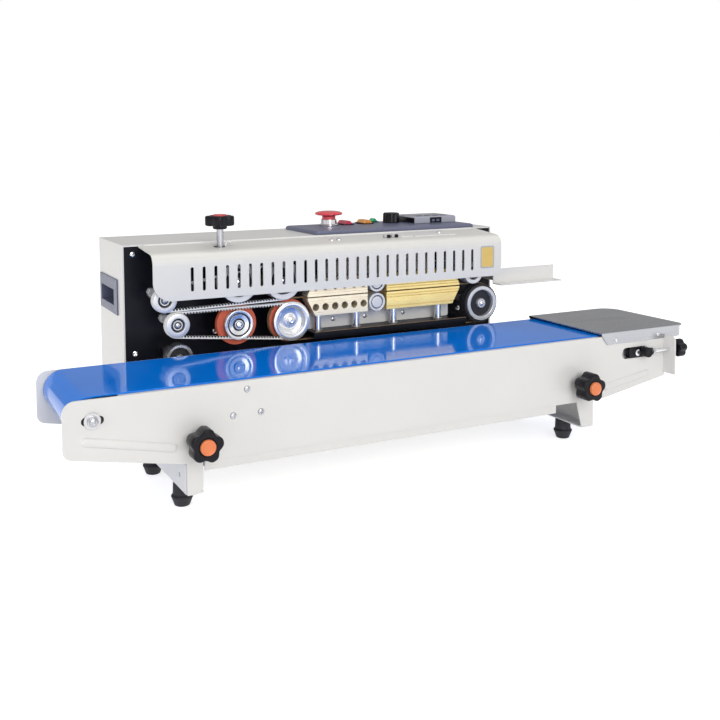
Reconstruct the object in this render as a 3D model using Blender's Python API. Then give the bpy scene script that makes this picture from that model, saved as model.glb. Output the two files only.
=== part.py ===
import math

import bmesh
import bpy
from mathutils import Vector

# Driving sizes in millimetres. X runs to the right along the conveyor, Y to the
# back, Z up from the floor. X 0 is the conveyor's left end and Y 0 is the outer
# face of its front plate.

# Conveyor
CONV_L = 800.0
CONV_W = 148.0
PLATE_T = 2.0
CONV_TOP = 143.0
CONV_LOW = 62.0
END_LOW = 84.0
TAPER_L = 126.0
TAPER_R = 105.0
FLANGE_OUT = 20.5
SIDE_GAP = 0.3
BED_TOP = 142.2
BED_T = 1.6
BED_LIP = 3.0
BELT_T = 1.5
BELT_Y0 = 9.0
BELT_Y1 = CONV_W - 4.4
ROLLER_R = 21.0
HEAD_X = 29.6
HEAD_Z = 121.1
TAIL_X = CONV_L - 49.0
TAIL_Z = 117.3
AXLE_R = 4.0
SLOT_X0 = TAIL_X - 26.0
SLOT_X1 = TAIL_X + 20.0
SLOT_Z0 = 107.0
SLOT_Z1 = 126.5
ROD_Y = -10.0
ROD_R = 3.0
COVER_UP = 4.7
LIP_H = 12.3
LIP_T = 1.5
LIFT = 14.0

# Clamp knobs and base
BEAM_LX = 127.0
BEAM_RX = CONV_L - 121.0
BEAM_W = 20.0
KNOB_LX = BEAM_LX + 13.0
KNOB_RX = BEAM_RX - 27.0
KNOB_Z = 86.6
KNOB_R = 20.0
STUD_R = 4.0
BEAM_Z0 = 26.5
BEAM_Z1 = 59.7
BEAM_T = 2.0
UPRIGHT_TOP = 118.0
FOOT_R = 12.3

# Housing
HOUSE_X0 = 119.0
HOUSE_X1 = 672.0
FRONT_Y = CONV_W + 16.0
HOUSE_Y0 = FRONT_Y + 58.0
HOUSE_Y1 = HOUSE_Y0 + 122.0
FOOT_YS = (50.0, CONV_W + 17.0, HOUSE_Y1 - 26.0)
HOUSE_Z0 = 60.0
HOUSE_Z1 = 272.0
WALL = 2.0
PANEL_T = 2.5
INNER_Y = HOUSE_Y0 + 12.0
SHAFT_R = 5.0
SHAFT_END = INNER_Y - 0.6

# Guard
GUARD_X0 = 138.5
GUARD_X1 = 643.0
GUARD_Y = FRONT_Y - 9.3
GUARD_Z0 = 209.0
GUARD_T = 1.5
GUARD_SLOTS = 28
SLOT_PITCH = 15.05
SLOT_FIRST = 187.0
SLOT_W = 2.6
HINGE_Y = HOUSE_Y0 - 1.6
HINGE_Z = HOUSE_Z1 - 2.8

# Sealing line
SEAL_Z = 197.6
BACK_Y = FRONT_Y + 19.0
BELT_FRONT = FRONT_Y + 1.9
BELT_BACK = FRONT_Y + 8.6
TYRE_FRONT = FRONT_Y + 9.4
TYRE_BACK = FRONT_Y + 18.0
TOOTH_T = 1.8
BAND_T = 0.4
LEFT_LOW = (171.3, 177.1)
LEFT_TOP = (155.6, 208.5)
LEFT_R = 15.0
EMB_LOW = (250.3, 171.0)
EMB_TOP = (250.5, 224.5)
EMB_R = 18.8
EMB_TYRE_R = 26.4
EMB_TOP_R = 25.5
DRV_LOW = (322.2, 169.7)
DRV_TOP = (311.0, 222.2)
DRV_R = 23.6
DRV_TOP_R = 24.2
PINCH_X = 447.0
PINCH_R = 12.4
END_WHEEL_LOW = (616.7, 169.4)
END_WHEEL_TOP = (602.0, 213.6)
CONV_WHEEL = (173.1, 136.6)
CONV_WHEEL_R = 17.0
COPPER_X0 = 345.0
COPPER_X1 = 433.0
HEAT_X0 = 462.0
HEAT_X1 = 579.0
BLOCK_H = 23.8
LEDGE_Z = 152.0

# Top of the housing
BEZEL_X0 = 386.0
BEZEL_X1 = 645.0
BEZEL_Y0 = HOUSE_Y0 + 3.0
BEZEL_Y1 = BEZEL_Y0 + 107.0
BEZEL_T = 5.0
STOP_X = BEZEL_X0 + 58.0
STOP_Y = BEZEL_Y0 + 79.0
DIAL_X = BEZEL_X1 - 98.5
DIAL_Y = BEZEL_Y0 + 75.0
STEM_X = 235.5
STEM_Y = FRONT_Y + 26.0
STEM_R = 4.0
ROCKER_SUNK = 0.6
POCKET_DEEP = 2.6

KNOB_FACE = 32.0
LEFT_END = 0.0
KNOB_END = CONV_L + 26.0
RIGHT_END = CONV_L + 38.0
BACK_END = HOUSE_Y1 + 10.0
OX = (LEFT_END + RIGHT_END) / 2.0
OY = (BACK_END - KNOB_FACE - 2.4) / 2.0

MATERIALS = {}


def clear():
    for ob in list(bpy.data.objects):
        bpy.data.objects.remove(ob, do_unlink=True)


def material(name, rgb, rough, metal):
    if name not in MATERIALS:
        mat = bpy.data.materials.new(name)
        mat.use_nodes = True
        node = mat.node_tree.nodes["Principled BSDF"]
        node.inputs["Base Color"].default_value = (rgb[0], rgb[1], rgb[2], 1.0)
        node.inputs["Roughness"].default_value = rough
        node.inputs["Metallic"].default_value = metal
        mat.diffuse_color = (rgb[0], rgb[1], rgb[2], 1.0)
        MATERIALS[name] = mat
    return MATERIALS[name]


CREAM = ("cream", (0.80, 0.79, 0.76), 0.4, 0.0)
BLACK = ("black_paint", (0.015, 0.015, 0.018), 0.35, 0.0)
STEEL = ("steel", (0.62, 0.62, 0.63), 0.3, 1.0)
CHROME = ("chrome", (0.85, 0.85, 0.86), 0.1, 1.0)
ALU = ("alu", (0.80, 0.80, 0.81), 0.3, 1.0)
RUBBER = ("rubber", (0.02, 0.02, 0.022), 0.7, 0.0)
ORANGE = ("orange_rubber", (0.75, 0.16, 0.06), 0.6, 0.0)
BLUE = ("blue_belt", (0.01, 0.12, 0.62), 0.2, 0.0)
WHITE_BELT = ("white_belt", (0.78, 0.76, 0.70), 0.6, 0.0)
SEAL = ("seal_band", (0.35, 0.22, 0.12), 0.5, 0.0)
PLASTIC = ("black_plastic", (0.02, 0.02, 0.025), 0.4, 0.0)
CAP = ("orange_cap", (0.90, 0.28, 0.10), 0.4, 0.0)
RED = ("red_button", (0.72, 0.03, 0.03), 0.3, 0.0)
PINK = ("red_rocker", (0.62, 0.05, 0.12), 0.3, 0.0)
AMBER = ("amber_rocker", (0.80, 0.35, 0.04), 0.3, 0.0)
GREEN = ("green_rocker", (0.03, 0.45, 0.22), 0.3, 0.0)
GREY = ("blue_grey", (0.16, 0.18, 0.27), 0.4, 0.0)
GOLD = ("gold_anodised", (0.85, 0.58, 0.20), 0.35, 1.0)
COPPER = ("copper_anodised", (0.82, 0.60, 0.45), 0.35, 1.0)


def place(axis, u, v, w):
    if axis == "X":
        p = (w, u, v)
    elif axis == "Y":
        p = (u, w, v)
    else:
        p = (u, v, w)
    return Vector(((p[0] - OX) / 1000.0, (p[1] - OY) / 1000.0, p[2] / 1000.0))


def finish(name, bm, look, pivot, smooth):
    bmesh.ops.recalc_face_normals(bm, faces=bm.faces[:])
    mesh = bpy.data.meshes.new(name)
    if pivot is not None:
        at = place("Z", pivot[0], pivot[1], pivot[2])
        bmesh.ops.translate(bm, verts=bm.verts[:], vec=-at)
    bm.to_mesh(mesh)
    bm.free()
    ob = bpy.data.objects.new(name, mesh)
    bpy.context.scene.collection.objects.link(ob)
    if pivot is not None:
        ob.location = at
    if look is not None:
        mesh.materials.append(material(*look))
    if smooth:
        mesh.shade_smooth()
        mesh.set_sharp_from_angle(angle=math.radians(35.0))
    return ob


def loft(name, rings, look, pivot=None, smooth=False, closed=False):
    """Joins rings of points, each with the same count, into one closed solid."""
    bm = bmesh.new()
    rows = [[bm.verts.new(p) for p in ring] for ring in rings]
    n = len(rows[0])
    count = len(rows)
    for i in range(count if closed else count - 1):
        a = rows[i]
        b = rows[(i + 1) % count]
        for k in range(n):
            bm.faces.new((a[k], a[(k + 1) % n], b[(k + 1) % n], b[k]))
    if not closed:
        bm.faces.new(rows[0])
        bm.faces.new(rows[-1])
    return finish(name, bm, look, pivot, smooth)


def prism(name, axis, outline, lo, hi, look, pivot=None, smooth=False):
    rings = [[place(axis, u, v, w) for u, v in outline] for w in (lo, hi)]
    return loft(name, rings, look, pivot, smooth)


def box(name, xs, ys, zs, look, pivot=None):
    outline = [(xs[0], ys[0]), (xs[1], ys[0]), (xs[1], ys[1]), (xs[0], ys[1])]
    return prism(name, "Z", outline, zs[0], zs[1], look, pivot)


def rounded(points, radii, steps=5):
    """A closed outline with its corners rounded."""
    out = []
    n = len(points)
    for i in range(n):
        p = Vector(points[i])
        a = (Vector(points[i - 1]) - p).normalized()
        b = (Vector(points[(i + 1) % n]) - p).normalized()
        r = radii[i] if isinstance(radii, (list, tuple)) else radii
        if r <= 0.0:
            out.append((p.x, p.y))
            continue
        half = a.angle(b) / 2.0
        t = r / math.tan(half)
        centre = p + (a + b).normalized() * (r / math.sin(half))
        p0 = p + a * t - centre
        p1 = p + b * t - centre
        start = math.atan2(p0.y, p0.x)
        sweep = math.atan2(p1.y, p1.x) - start
        while sweep > math.pi:
            sweep -= 2.0 * math.pi
        while sweep < -math.pi:
            sweep += 2.0 * math.pi
        for k in range(steps + 1):
            ang = start + sweep * k / steps
            out.append((centre.x + r * math.cos(ang), centre.y + r * math.sin(ang)))
    return out


def rect(u0, u1, v0, v1, r=0.0, steps=4):
    return rounded([(u0, v0), (u1, v0), (u1, v1), (u0, v1)], r, steps)


def circle(u, v, r, n=24):
    return [(u + r * math.cos(2 * math.pi * k / n), v + r * math.sin(2 * math.pi * k / n))
            for k in range(n)]


def lathe(name, axis, at, profile, look, seg=18, pivot=None):
    """Turns a profile of (radius, position along the axis) into a round solid."""
    bm = bmesh.new()
    rows = []
    for r, h in profile:
        if r <= 0.0:
            rows.append([bm.verts.new(place(axis, at[0], at[1], h))])
        else:
            rows.append([bm.verts.new(place(axis, u, v, h))
                         for u, v in circle(at[0], at[1], r, seg)])
    solid_axis = profile[0][0] <= 0.0
    count = len(rows)
    for i in range(count - 1 if solid_axis else count):
        a = rows[i]
        b = rows[(i + 1) % count]
        for k in range(seg):
            j = (k + 1) % seg
            if len(a) == 1 and len(b) == 1:
                continue
            if len(a) == 1:
                bm.faces.new((a[0], b[j], b[k]))
            elif len(b) == 1:
                bm.faces.new((a[k], a[j], b[0]))
            else:
                bm.faces.new((a[k], a[j], b[j], b[k]))
    return finish(name, bm, look, pivot, True)


def tool(ob):
    ob.hide_render = True
    ob.display_type = "WIRE"
    return ob


def boolean(ob, other, kind):
    tool(other)
    mod = ob.modifiers.new(kind.lower(), "BOOLEAN")
    mod.operation = kind
    mod.solver = "EXACT"
    mod.object = other


def cut(ob, other):
    boolean(ob, other, "DIFFERENCE")


def join(ob, other):
    boolean(ob, other, "UNION")


def many(name, axis, outlines, lo, hi):
    """Several separate prisms in one cutter."""
    bm = bmesh.new()
    for outline in outlines:
        rows = [[bm.verts.new(place(axis, u, v, w)) for u, v in outline] for w in (lo, hi)]
        n = len(outline)
        for k in range(n):
            bm.faces.new((rows[0][k], rows[0][(k + 1) % n], rows[1][(k + 1) % n], rows[1][k]))
        bm.faces.new(rows[0])
        bm.faces.new(rows[1])
    return finish(name, bm, None, None, False)


def loop_pairs(circles, thick, step=20.0):
    """Matching inner and outer points of a belt around circles in counter-clockwise order."""
    n = len(circles)
    normals = []
    for i in range(n):
        x0, z0, r0 = circles[i]
        x1, z1, r1 = circles[(i + 1) % n]
        dist = math.hypot(x1 - x0, z1 - z0)
        normals.append(math.atan2(z1 - z0, x1 - x0) - math.acos((r0 - r1) / dist))
    inner = []
    outer = []
    for i in range(n):
        start = normals[i - 1]
        end = normals[i]
        while end < start:
            end += 2.0 * math.pi
        while end - start > 2.0 * math.pi:
            end -= 2.0 * math.pi
        parts = max(1, math.ceil(math.degrees(end - start) / step))
        x, z, r = circles[i]
        for k in range(parts + 1):
            ang = start + (end - start) * k / parts
            inner.append((x + r * math.cos(ang), z + r * math.sin(ang)))
            outer.append((x + (r + thick) * math.cos(ang), z + (r + thick) * math.sin(ang)))
    return inner, outer


def band(name, circles, thick, y0, y1, look, step=20.0):
    inner, outer = loop_pairs(circles, thick, step)
    rings = [[place("Y", u, v, w) for u, v in line]
             for line, w in ((inner, y0), (outer, y0), (outer, y1), (inner, y1))]
    return loft(name, rings, look, None, True, True)


def star_points(r, turn, lobes=5, depth=0.2, per=4):
    """The outline of a knob with round lobes, turned by some degrees."""
    n = lobes * per
    out = []
    for k in range(n):
        ang = 2.0 * math.pi * k / n
        reach = r * (1.0 - depth * (0.5 - 0.5 * math.cos(lobes * ang)) ** 1.5)
        ang += math.radians(turn)
        out.append((reach * math.cos(ang), reach * math.sin(ang)))
    return out


def star_knob(name, axis, at, h0, h1, r, look, stem, pivot, turn):
    """A lobed knob between h0 and h1, with a round hub and stud of (radius, position) steps."""
    d = 1.0 if h1 > h0 else -1.0
    lobed = star_points(r, turn)
    bevel = 2.2
    rings = []
    for scale, h in ((0.90, h0), (1.0, h0 + d * bevel), (1.0, h1 - d * bevel * 1.4),
                     (0.84, h1)):
        rings.append([place(axis, at[0] + u * scale, at[1] + v * scale, h) for u, v in lobed])
    knob = loft(name, rings, look, pivot, True)
    hub = lathe(name + "_stem", axis, at, stem, None, 10)
    join(knob, hub)
    return knob


def plate_outline():
    pts = [(0.0, END_LOW + 1.0), (TAPER_L, CONV_LOW), (CONV_L - TAPER_R, CONV_LOW),
           (CONV_L, END_LOW - 3.5), (CONV_L, CONV_TOP), (0.0, CONV_TOP)]
    return rounded(pts, [10.0, 12.0, 12.0, 0.0, 0.0, 13.0], 3)


def side_plate(name, y0, y1, flange_y):
    plate = prism(name, "Y", plate_outline(), y0, y1, CREAM)
    ys = sorted((flange_y, y1 if flange_y < y0 else y0))
    f = rect(ys[0], ys[1], END_LOW + 1.5, CONV_TOP - 10.0, 0.0)
    soft = rounded(f, [7.0 if abs(p[0] - flange_y) < 0.1 else 0.0 for p in f], 2)
    join(plate, prism(name + "_flange", "X", soft, CONV_L - PLATE_T, CONV_L, None))
    lo = y0 - 2.0
    hi = y1 + 2.0
    holes = [rect(HEAD_X - 11.0, HEAD_X + 12.0, HEAD_Z - 4.4, HEAD_Z + 4.4, 4.2, 3),
             rect(SLOT_X0, SLOT_X1, SLOT_Z0, SLOT_Z1, 5.0, 2)]
    for x in (KNOB_LX, KNOB_RX):
        holes.append(rect(x - 4.6, x + 4.6, KNOB_Z - LIFT - 4.8, KNOB_Z + 4.8, 4.4, 2))
    cut(plate, many(name + "_holes", "Y", holes, lo, hi))
    rod = ROD_Y if flange_y < y0 else CONV_W - ROD_Y
    cut(plate, prism(name + "_rod_hole", "X", circle(rod, TAIL_Z + 1.5, ROD_R + 0.6, 10),
                     CONV_L - 6.0, CONV_L + 4.0, None))
    return plate


def conveyor():
    side_plate("conveyor_front_plate", 0.0, PLATE_T, -FLANGE_OUT)
    side_plate("conveyor_back_plate", CONV_W - PLATE_T, CONV_W, CONV_W + FLANGE_OUT)
    y0 = PLATE_T + SIDE_GAP
    y1 = CONV_W - y0
    t = BED_T
    low = BED_TOP - BED_LIP
    section = [(y0, low), (y0 + t, low), (y0 + t, BED_TOP - t), (y1 - t, BED_TOP - t),
               (y1 - t, low), (y1, low), (y1, BED_TOP), (y0, BED_TOP)]
    prism("slider_bed", "X", section, 58.0, TAIL_X - 35.0, CREAM)
    z0 = CONV_LOW - 11.0
    pan = [(y0, z0), (y1, z0), (y1, z0 + 24.0), (y1 - t, z0 + 24.0), (y1 - t, z0 + t),
           (y0 + t, z0 + t), (y0 + t, z0 + 24.0), (y0, z0 + 24.0)]
    low_pan = prism("lower_pan", "X", pan, BEAM_LX + BEAM_W + 4.0, KNOB_RX - 34.0, CREAM)
    ear = rect(BEAM_LX + BEAM_W + 0.4, BEAM_LX + BEAM_W + 6.0, z0, z0 + 24.0)
    join(low_pan, prism("lower_pan_ear", "Y", ear, y0, y0 + t, None))
    gap = SIDE_GAP
    circles = [(HEAD_X, HEAD_Z, ROLLER_R + gap), (TAIL_X, TAIL_Z, ROLLER_R + gap),
               (TAIL_X - 33.0, BED_TOP + gap - 0.5, 0.5), (60.0, BED_TOP + gap - 0.5, 0.5)]
    band("conveyor_belt", circles, BELT_T, BELT_Y0, BELT_Y1, BLUE, 12.0)
    ry0 = 5.0
    ry1 = CONV_W - 5.0
    a = AXLE_R
    head = [(0.0, -6.0), (5.6, -6.0), (5.6, -2.0), (8.6, -2.0), (8.6, -0.4), (a, -0.4),
            (a, ry0), (ROLLER_R, ry0), (ROLLER_R, ry1), (a, ry1), (a, CONV_W + 4.0),
            (0.0, CONV_W + 4.0)]
    lathe("head_roller", "Y", (HEAD_X, HEAD_Z), head, STEEL, 16, (HEAD_X, 0.0, HEAD_Z))
    bore = a + 0.35
    tail = [(bore, ry0), (ROLLER_R, ry0), (ROLLER_R, ry1), (bore, ry1)]
    lathe("tail_roller", "Y", (TAIL_X, TAIL_Z), tail, STEEL, 16, (TAIL_X, 0.0, TAIL_Z))
    bx = 11.0
    zs = (TAIL_Z - 7.6, TAIL_Z + 7.6)
    axle = lathe("tail_axle", "Y", (TAIL_X, TAIL_Z),
                 [(0.0, -14.0), (a, -14.0), (a, CONV_W + 14.0), (0.0, CONV_W + 14.0)],
                 STEEL, 10)
    for side, (b0, b1) in enumerate(((-13.0, 4.4), (CONV_W - 4.4, CONV_W + 13.0))):
        block = box("axle_block_%d" % side, (TAIL_X - bx, TAIL_X + bx), (b0, b1), zs, None)
        join(axle, block)
    for name, y in (("tension_knob_front", ROD_Y), ("tension_knob_back", CONV_W - ROD_Y)):
        z = TAIL_Z + 1.5
        x0 = TAIL_X + bx + 0.4
        stem = [(0.0, x0), (ROD_R, x0), (ROD_R, CONV_L + 8.0), (0.0, CONV_L + 8.0)]
        star_knob(name, "X", (y, z), CONV_L + 6.0, KNOB_END, 9.5, PLASTIC, stem,
                  (CONV_L, y, z), 20.0)
    ex0 = TAIL_X - 62.5
    ex1 = RIGHT_END
    top = CONV_TOP + COVER_UP
    ey0 = -SIDE_GAP - LIP_T
    ey1 = CONV_W + SIDE_GAP + LIP_T
    cover = prism("end_plate", "Z", rounded([(ex0, ey0), (ex1, ey0), (ex1, ey1), (ex0, ey1)],
                                            [0.0, 14.0, 24.0, 0.0], 5), top - 1.5, top, STEEL)
    low = top - LIP_H
    lip = [(ex0 + 11.0, low), (ex1 - 15.0, low), (ex1 - 15.0, top - 0.5), (ex0, top - 0.5),
           (ex0, top - 2.6)]
    join(cover, prism("end_plate_lip_front", "Y", lip, ey0, ey0 + LIP_T, None))
    join(cover, prism("end_plate_lip_back", "Y", lip, ey1 - LIP_T, ey1, None))


def base():
    z0 = BEAM_Z0
    z1 = BEAM_Z1
    t = BEAM_T
    fy = PLATE_T + 0.5
    for side, x, d in (("left", BEAM_LX, 1.0), ("right", BEAM_RX, -1.0)):
        pts = [(x, z0), (x + d * BEAM_W, z0), (x + d * BEAM_W, z0 + t), (x + d * t, z0 + t),
               (x + d * t, z1 - t), (x + d * BEAM_W, z1 - t), (x + d * BEAM_W, z1), (x, z1)]
        beam = prism("base_beam_" + side, "Y", pts, fy, HOUSE_Y1 - 4.0, CREAM)
        if d > 0:
            tab = [(x, z0), (x + BEAM_W - 1.0, z0), (x + BEAM_W - 1.0, UPRIGHT_TOP),
                   (x, UPRIGHT_TOP)]
        else:
            tab = [(x - 18.5, z0), (x, z0), (x, UPRIGHT_TOP), (x - 37.5, UPRIGHT_TOP),
                   (x - 37.5, 100.0)]
        join(beam, prism("tab_" + side, "Y", tab, fy, fy + t, None))
        ux = sorted((x, x + d * BEAM_W))
        back = rect(ux[0], ux[1], z1 - 1.0, UPRIGHT_TOP)
        join(beam, prism("back_tab_" + side, "Y", back, CONV_W + 0.5, CONV_W + 0.5 + t, None))
        kx = KNOB_LX if d > 0 else KNOB_RX
        cut(beam, prism("stud_hole_" + side, "Y", circle(kx, KNOB_Z, STUD_R + 0.6, 10),
                        fy - 3.0, fy + 5.0, None))
        fx = x + d * 10.0
        for label, y in zip(("front", "middle", "rear"), FOOT_YS):
            top = z0 - 0.3
            prof = [(0.0, 0.0), (8.4, 0.0), (FOOT_R, 9.6), (10.3, 13.0), (9.8, top), (0.0, top)]
            lathe("foot_%s_%s" % (label, side), "Z", (fx, y), prof, RUBBER, 10)
        face = -KNOB_FACE
        inner = -11.0
        stem = [(0.0, inner - 2.0), (9.0, inner - 2.0), (9.0, -3.0), (STUD_R, -3.0),
                (STUD_R, 11.0), (0.0, 11.0)]
        name = "clamp_knob_" + side
        star_knob(name, "Y", (kx, KNOB_Z), inner, face + 1.0, KNOB_R, PLASTIC, stem,
                  (kx, 0.0, KNOB_Z), 11.0)
        cap = [(0.0, face + 0.7), (8.9, face + 0.7), (8.9, face - 0.6), (7.0, face - 1.9),
               (0.0, face - 2.4)]
        lathe("clamp_cap_" + side, "Y", (kx, KNOB_Z), cap, CAP, 14, (kx, 0.0, KNOB_Z))


def housing():
    x0, x1, y0, y1, z0, z1, w = HOUSE_X0, HOUSE_X1, HOUSE_Y0, HOUSE_Y1, HOUSE_Z0, HOUSE_Z1, WALL
    shell = box("housing", (x0, x1), (y0, y1), (z0, z1), CREAM)
    cut(shell, box("housing_back_room", (x0 + w, x1 - w), (INNER_Y + 2.0, y1 - w),
                   (z0 + w, z1 - w), None))
    cut(shell, box("housing_front_room", (x0 + w, x1 - w), (y0 - 5.0, INNER_Y),
                   (z0 + w, z1 - w), None))
    vents = []
    for gx in (200.0, 470.0):
        for k in range(5):
            vents.append(rect(gx + 16.0 * k, gx + 16.0 * k + 6.0, 120.0, 190.0))
    cut(shell, many("housing_vents", "Y", vents, y1 - 8.0, y1 + 5.0))
    cut(shell, box("handle_hole", (x0 - 5.0, x0 + w + 3.0), (y0 + 38.0, y0 + 108.0),
                   (190.0, 214.0), None))
    shafts = [(c[0], c[1]) for c in (LEFT_LOW, LEFT_TOP, EMB_LOW, EMB_TOP, DRV_LOW, DRV_TOP,
                                     END_WHEEL_LOW, END_WHEEL_TOP, CONV_WHEEL)]
    shafts += [(PINCH_X, SEAL_Z - 0.75 - PINCH_R), (PINCH_X, SEAL_Z + 0.75 + PINCH_R)]
    cut(shell, prism("gland_hole", "Y", circle(630.0, 92.0, 8.6, 12), y1 - 8.0, y1 + 5.0, None))
    rail = [(HINGE_Y - 0.9, HINGE_Z - 4.0), (y0 + 1.0, HINGE_Z - 4.0), (y0 + 1.0, z1 - 0.2),
            (HINGE_Y + 0.6, z1 - 0.2), (HINGE_Y - 0.9, z1 - 1.6)]
    join(shell, prism("hinge_rail", "X", rail, GUARD_X0 + 8.0, GUARD_X1 - 8.0, None))
    ty0 = FRONT_Y - 5.5
    ty1 = FRONT_Y + 16.0
    tray = [(ty0, 193.0), (ty1, 193.0), (ty1, 215.0), (ty1 - 1.5, 215.0), (ty1 - 1.5, 194.5),
            (ty0, 194.5)]
    guide = prism("tray", "X", tray, x1 - 26.0, x1 + 83.5, CREAM)
    arm = box("tray_arm", (x1 - 17.0, x1 - w - 3.0), (ty1 - 1.0, y0 + 0.6), (196.0, 213.0), None)
    join(guide, arm)

    ins = w + 0.3
    px0, px1 = x0 + ins, x1 - ins
    py0 = y0 + 1.0
    py1 = py0 + PANEL_T
    panel = box("front_panel", (px0, px1), (py0, py1), (z0 + ins, z1 - ins), BLACK)
    holes = [circle(u, v, SHAFT_R + 1.2, 8) for u, v in shafts if not 400.0 < u < 500.0]
    holes.append(rect(400.0, 572.0, 156.5, 240.0))
    cut(panel, many("panel_holes", "Y", holes, py0 - 3.0, py1 + 3.0))
    block = box("pressure_bracket", (STEM_X - 14.0, STEM_X + 14.0), (STEM_Y - 9.0, py0 + 1.0),
                (252.0, 258.0), None)
    join(panel, block)
    cut(panel, prism("stem_hole", "Z", circle(STEM_X, STEM_Y, STEM_R + 0.6, 12),
                     246.0, 264.0, None))

    grip = box("carry_handle", (x0 - 1.8, x0 - 0.3), (y0 + 24.0, y0 + 113.0), (181.0, 226.5), GREY)
    join(grip, box("handle_cup", (x0 - 1.0, x0 + 16.0), (y0 + 38.5, y0 + 107.5), (190.5, 213.5), None))
    cut(grip, box("handle_room", (x0 - 6.0, x0 + 14.0), (y0 + 40.0, y0 + 106.0), (192.0, 212.0), None))

    gy = y1 - w
    gland = [(0.0, gy - 4.0), (8.0, gy - 4.0), (8.0, y1 + 0.3), (12.0, y1 + 0.3),
             (12.0, y1 + 4.0), (9.0, y1 + 7.0), (8.0, BACK_END), (4.0, BACK_END),
             (4.0, y1 - 1.0), (0.0, y1 - 1.0)]
    lathe("cable_gland", "Y", (630.0, 92.0), gland, PLASTIC, 10)


def sheet(points, t):
    """Offsets an open line of (u, v) points to its left by t and closes it."""
    left = []
    n = len(points)
    for i in range(n):
        p = Vector(points[i])
        dirs = []
        if i > 0:
            dirs.append((p - Vector(points[i - 1])).normalized())
        if i < n - 1:
            dirs.append((Vector(points[i + 1]) - p).normalized())
        d = sum(dirs, Vector((0.0, 0.0))).normalized()
        normal = Vector((-d.y, d.x))
        half = normal.dot(Vector((-dirs[0].y, dirs[0].x)))
        left.append(p + normal * (t / half))
    return points + [(p.x, p.y) for p in reversed(left)]


def corner(u, v, du, dv, r, n=4):
    """The waste outside a rounded corner at (u, v), whose part lies towards (du, dv)."""
    cu = u + du * r
    cv = v + dv * r
    arc = []
    for k in range(n + 1):
        ang = math.pi / 2.0 * k / n
        arc.append((cu - du * r * math.sin(ang), cv - dv * r * math.cos(ang)))
    return [(u - du * 4.0, v - dv * 4.0), (cu, v - dv * 4.0)] + arc + [(u - du * 4.0, cv)]


def guard():
    gy = GUARD_Y
    line = [(HINGE_Y - 1.4, HINGE_Z + 1.3), (gy + 12.0, HINGE_Z - 2.8), (gy + 6.5, HINGE_Z - 4.6),
            (gy + 2.6, HINGE_Z - 8.2), (gy + 0.6, HINGE_Z - 12.6), (gy, HINGE_Z - 17.0),
            (gy, GUARD_Z0)]
    pivot = (GUARD_X0, HINGE_Y, HINGE_Z)
    cover = prism("guard", "X", sheet(line, GUARD_T), GUARD_X0, GUARD_X1, CREAM, pivot, True)
    slots = []
    for k in range(GUARD_SLOTS):
        x = SLOT_FIRST + SLOT_PITCH * k
        slots.append(rect(x - SLOT_W / 2.0, x + SLOT_W / 2.0, 220.0, 248.0))
    slots.append(corner(GUARD_X0, GUARD_Z0, 1.0, 1.0, 23.0))
    slots.append(corner(GUARD_X1, GUARD_Z0, -1.0, 1.0, 16.0, 3))
    cut(cover, many("guard_slots", "Y", slots, gy - 4.0, gy + 5.0))
    notch = rect(STEM_X - 7.0, STEM_X + 7.0, STEM_Y - 8.5, STEM_Y + 8.5, 6.5, 2)
    cut(cover, prism("guard_notch", "Z", notch, 256.0, 280.0, None))


def ring_wheel(name, at, rim, look, tail, seg=18, bore=9.0, depth=4.0, hub=4.6):
    """A wheel with a raised rim, a round recess and a hub in its front face."""
    f = FRONT_Y
    prof = [(0.0, f + 0.6), (hub, f + 0.6), (hub, f + depth), (bore, f + depth), (bore, f),
            (rim, f)] + tail
    return lathe(name, "Y", at, prof, look, seg, (at[0], f, at[1]))


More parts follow.
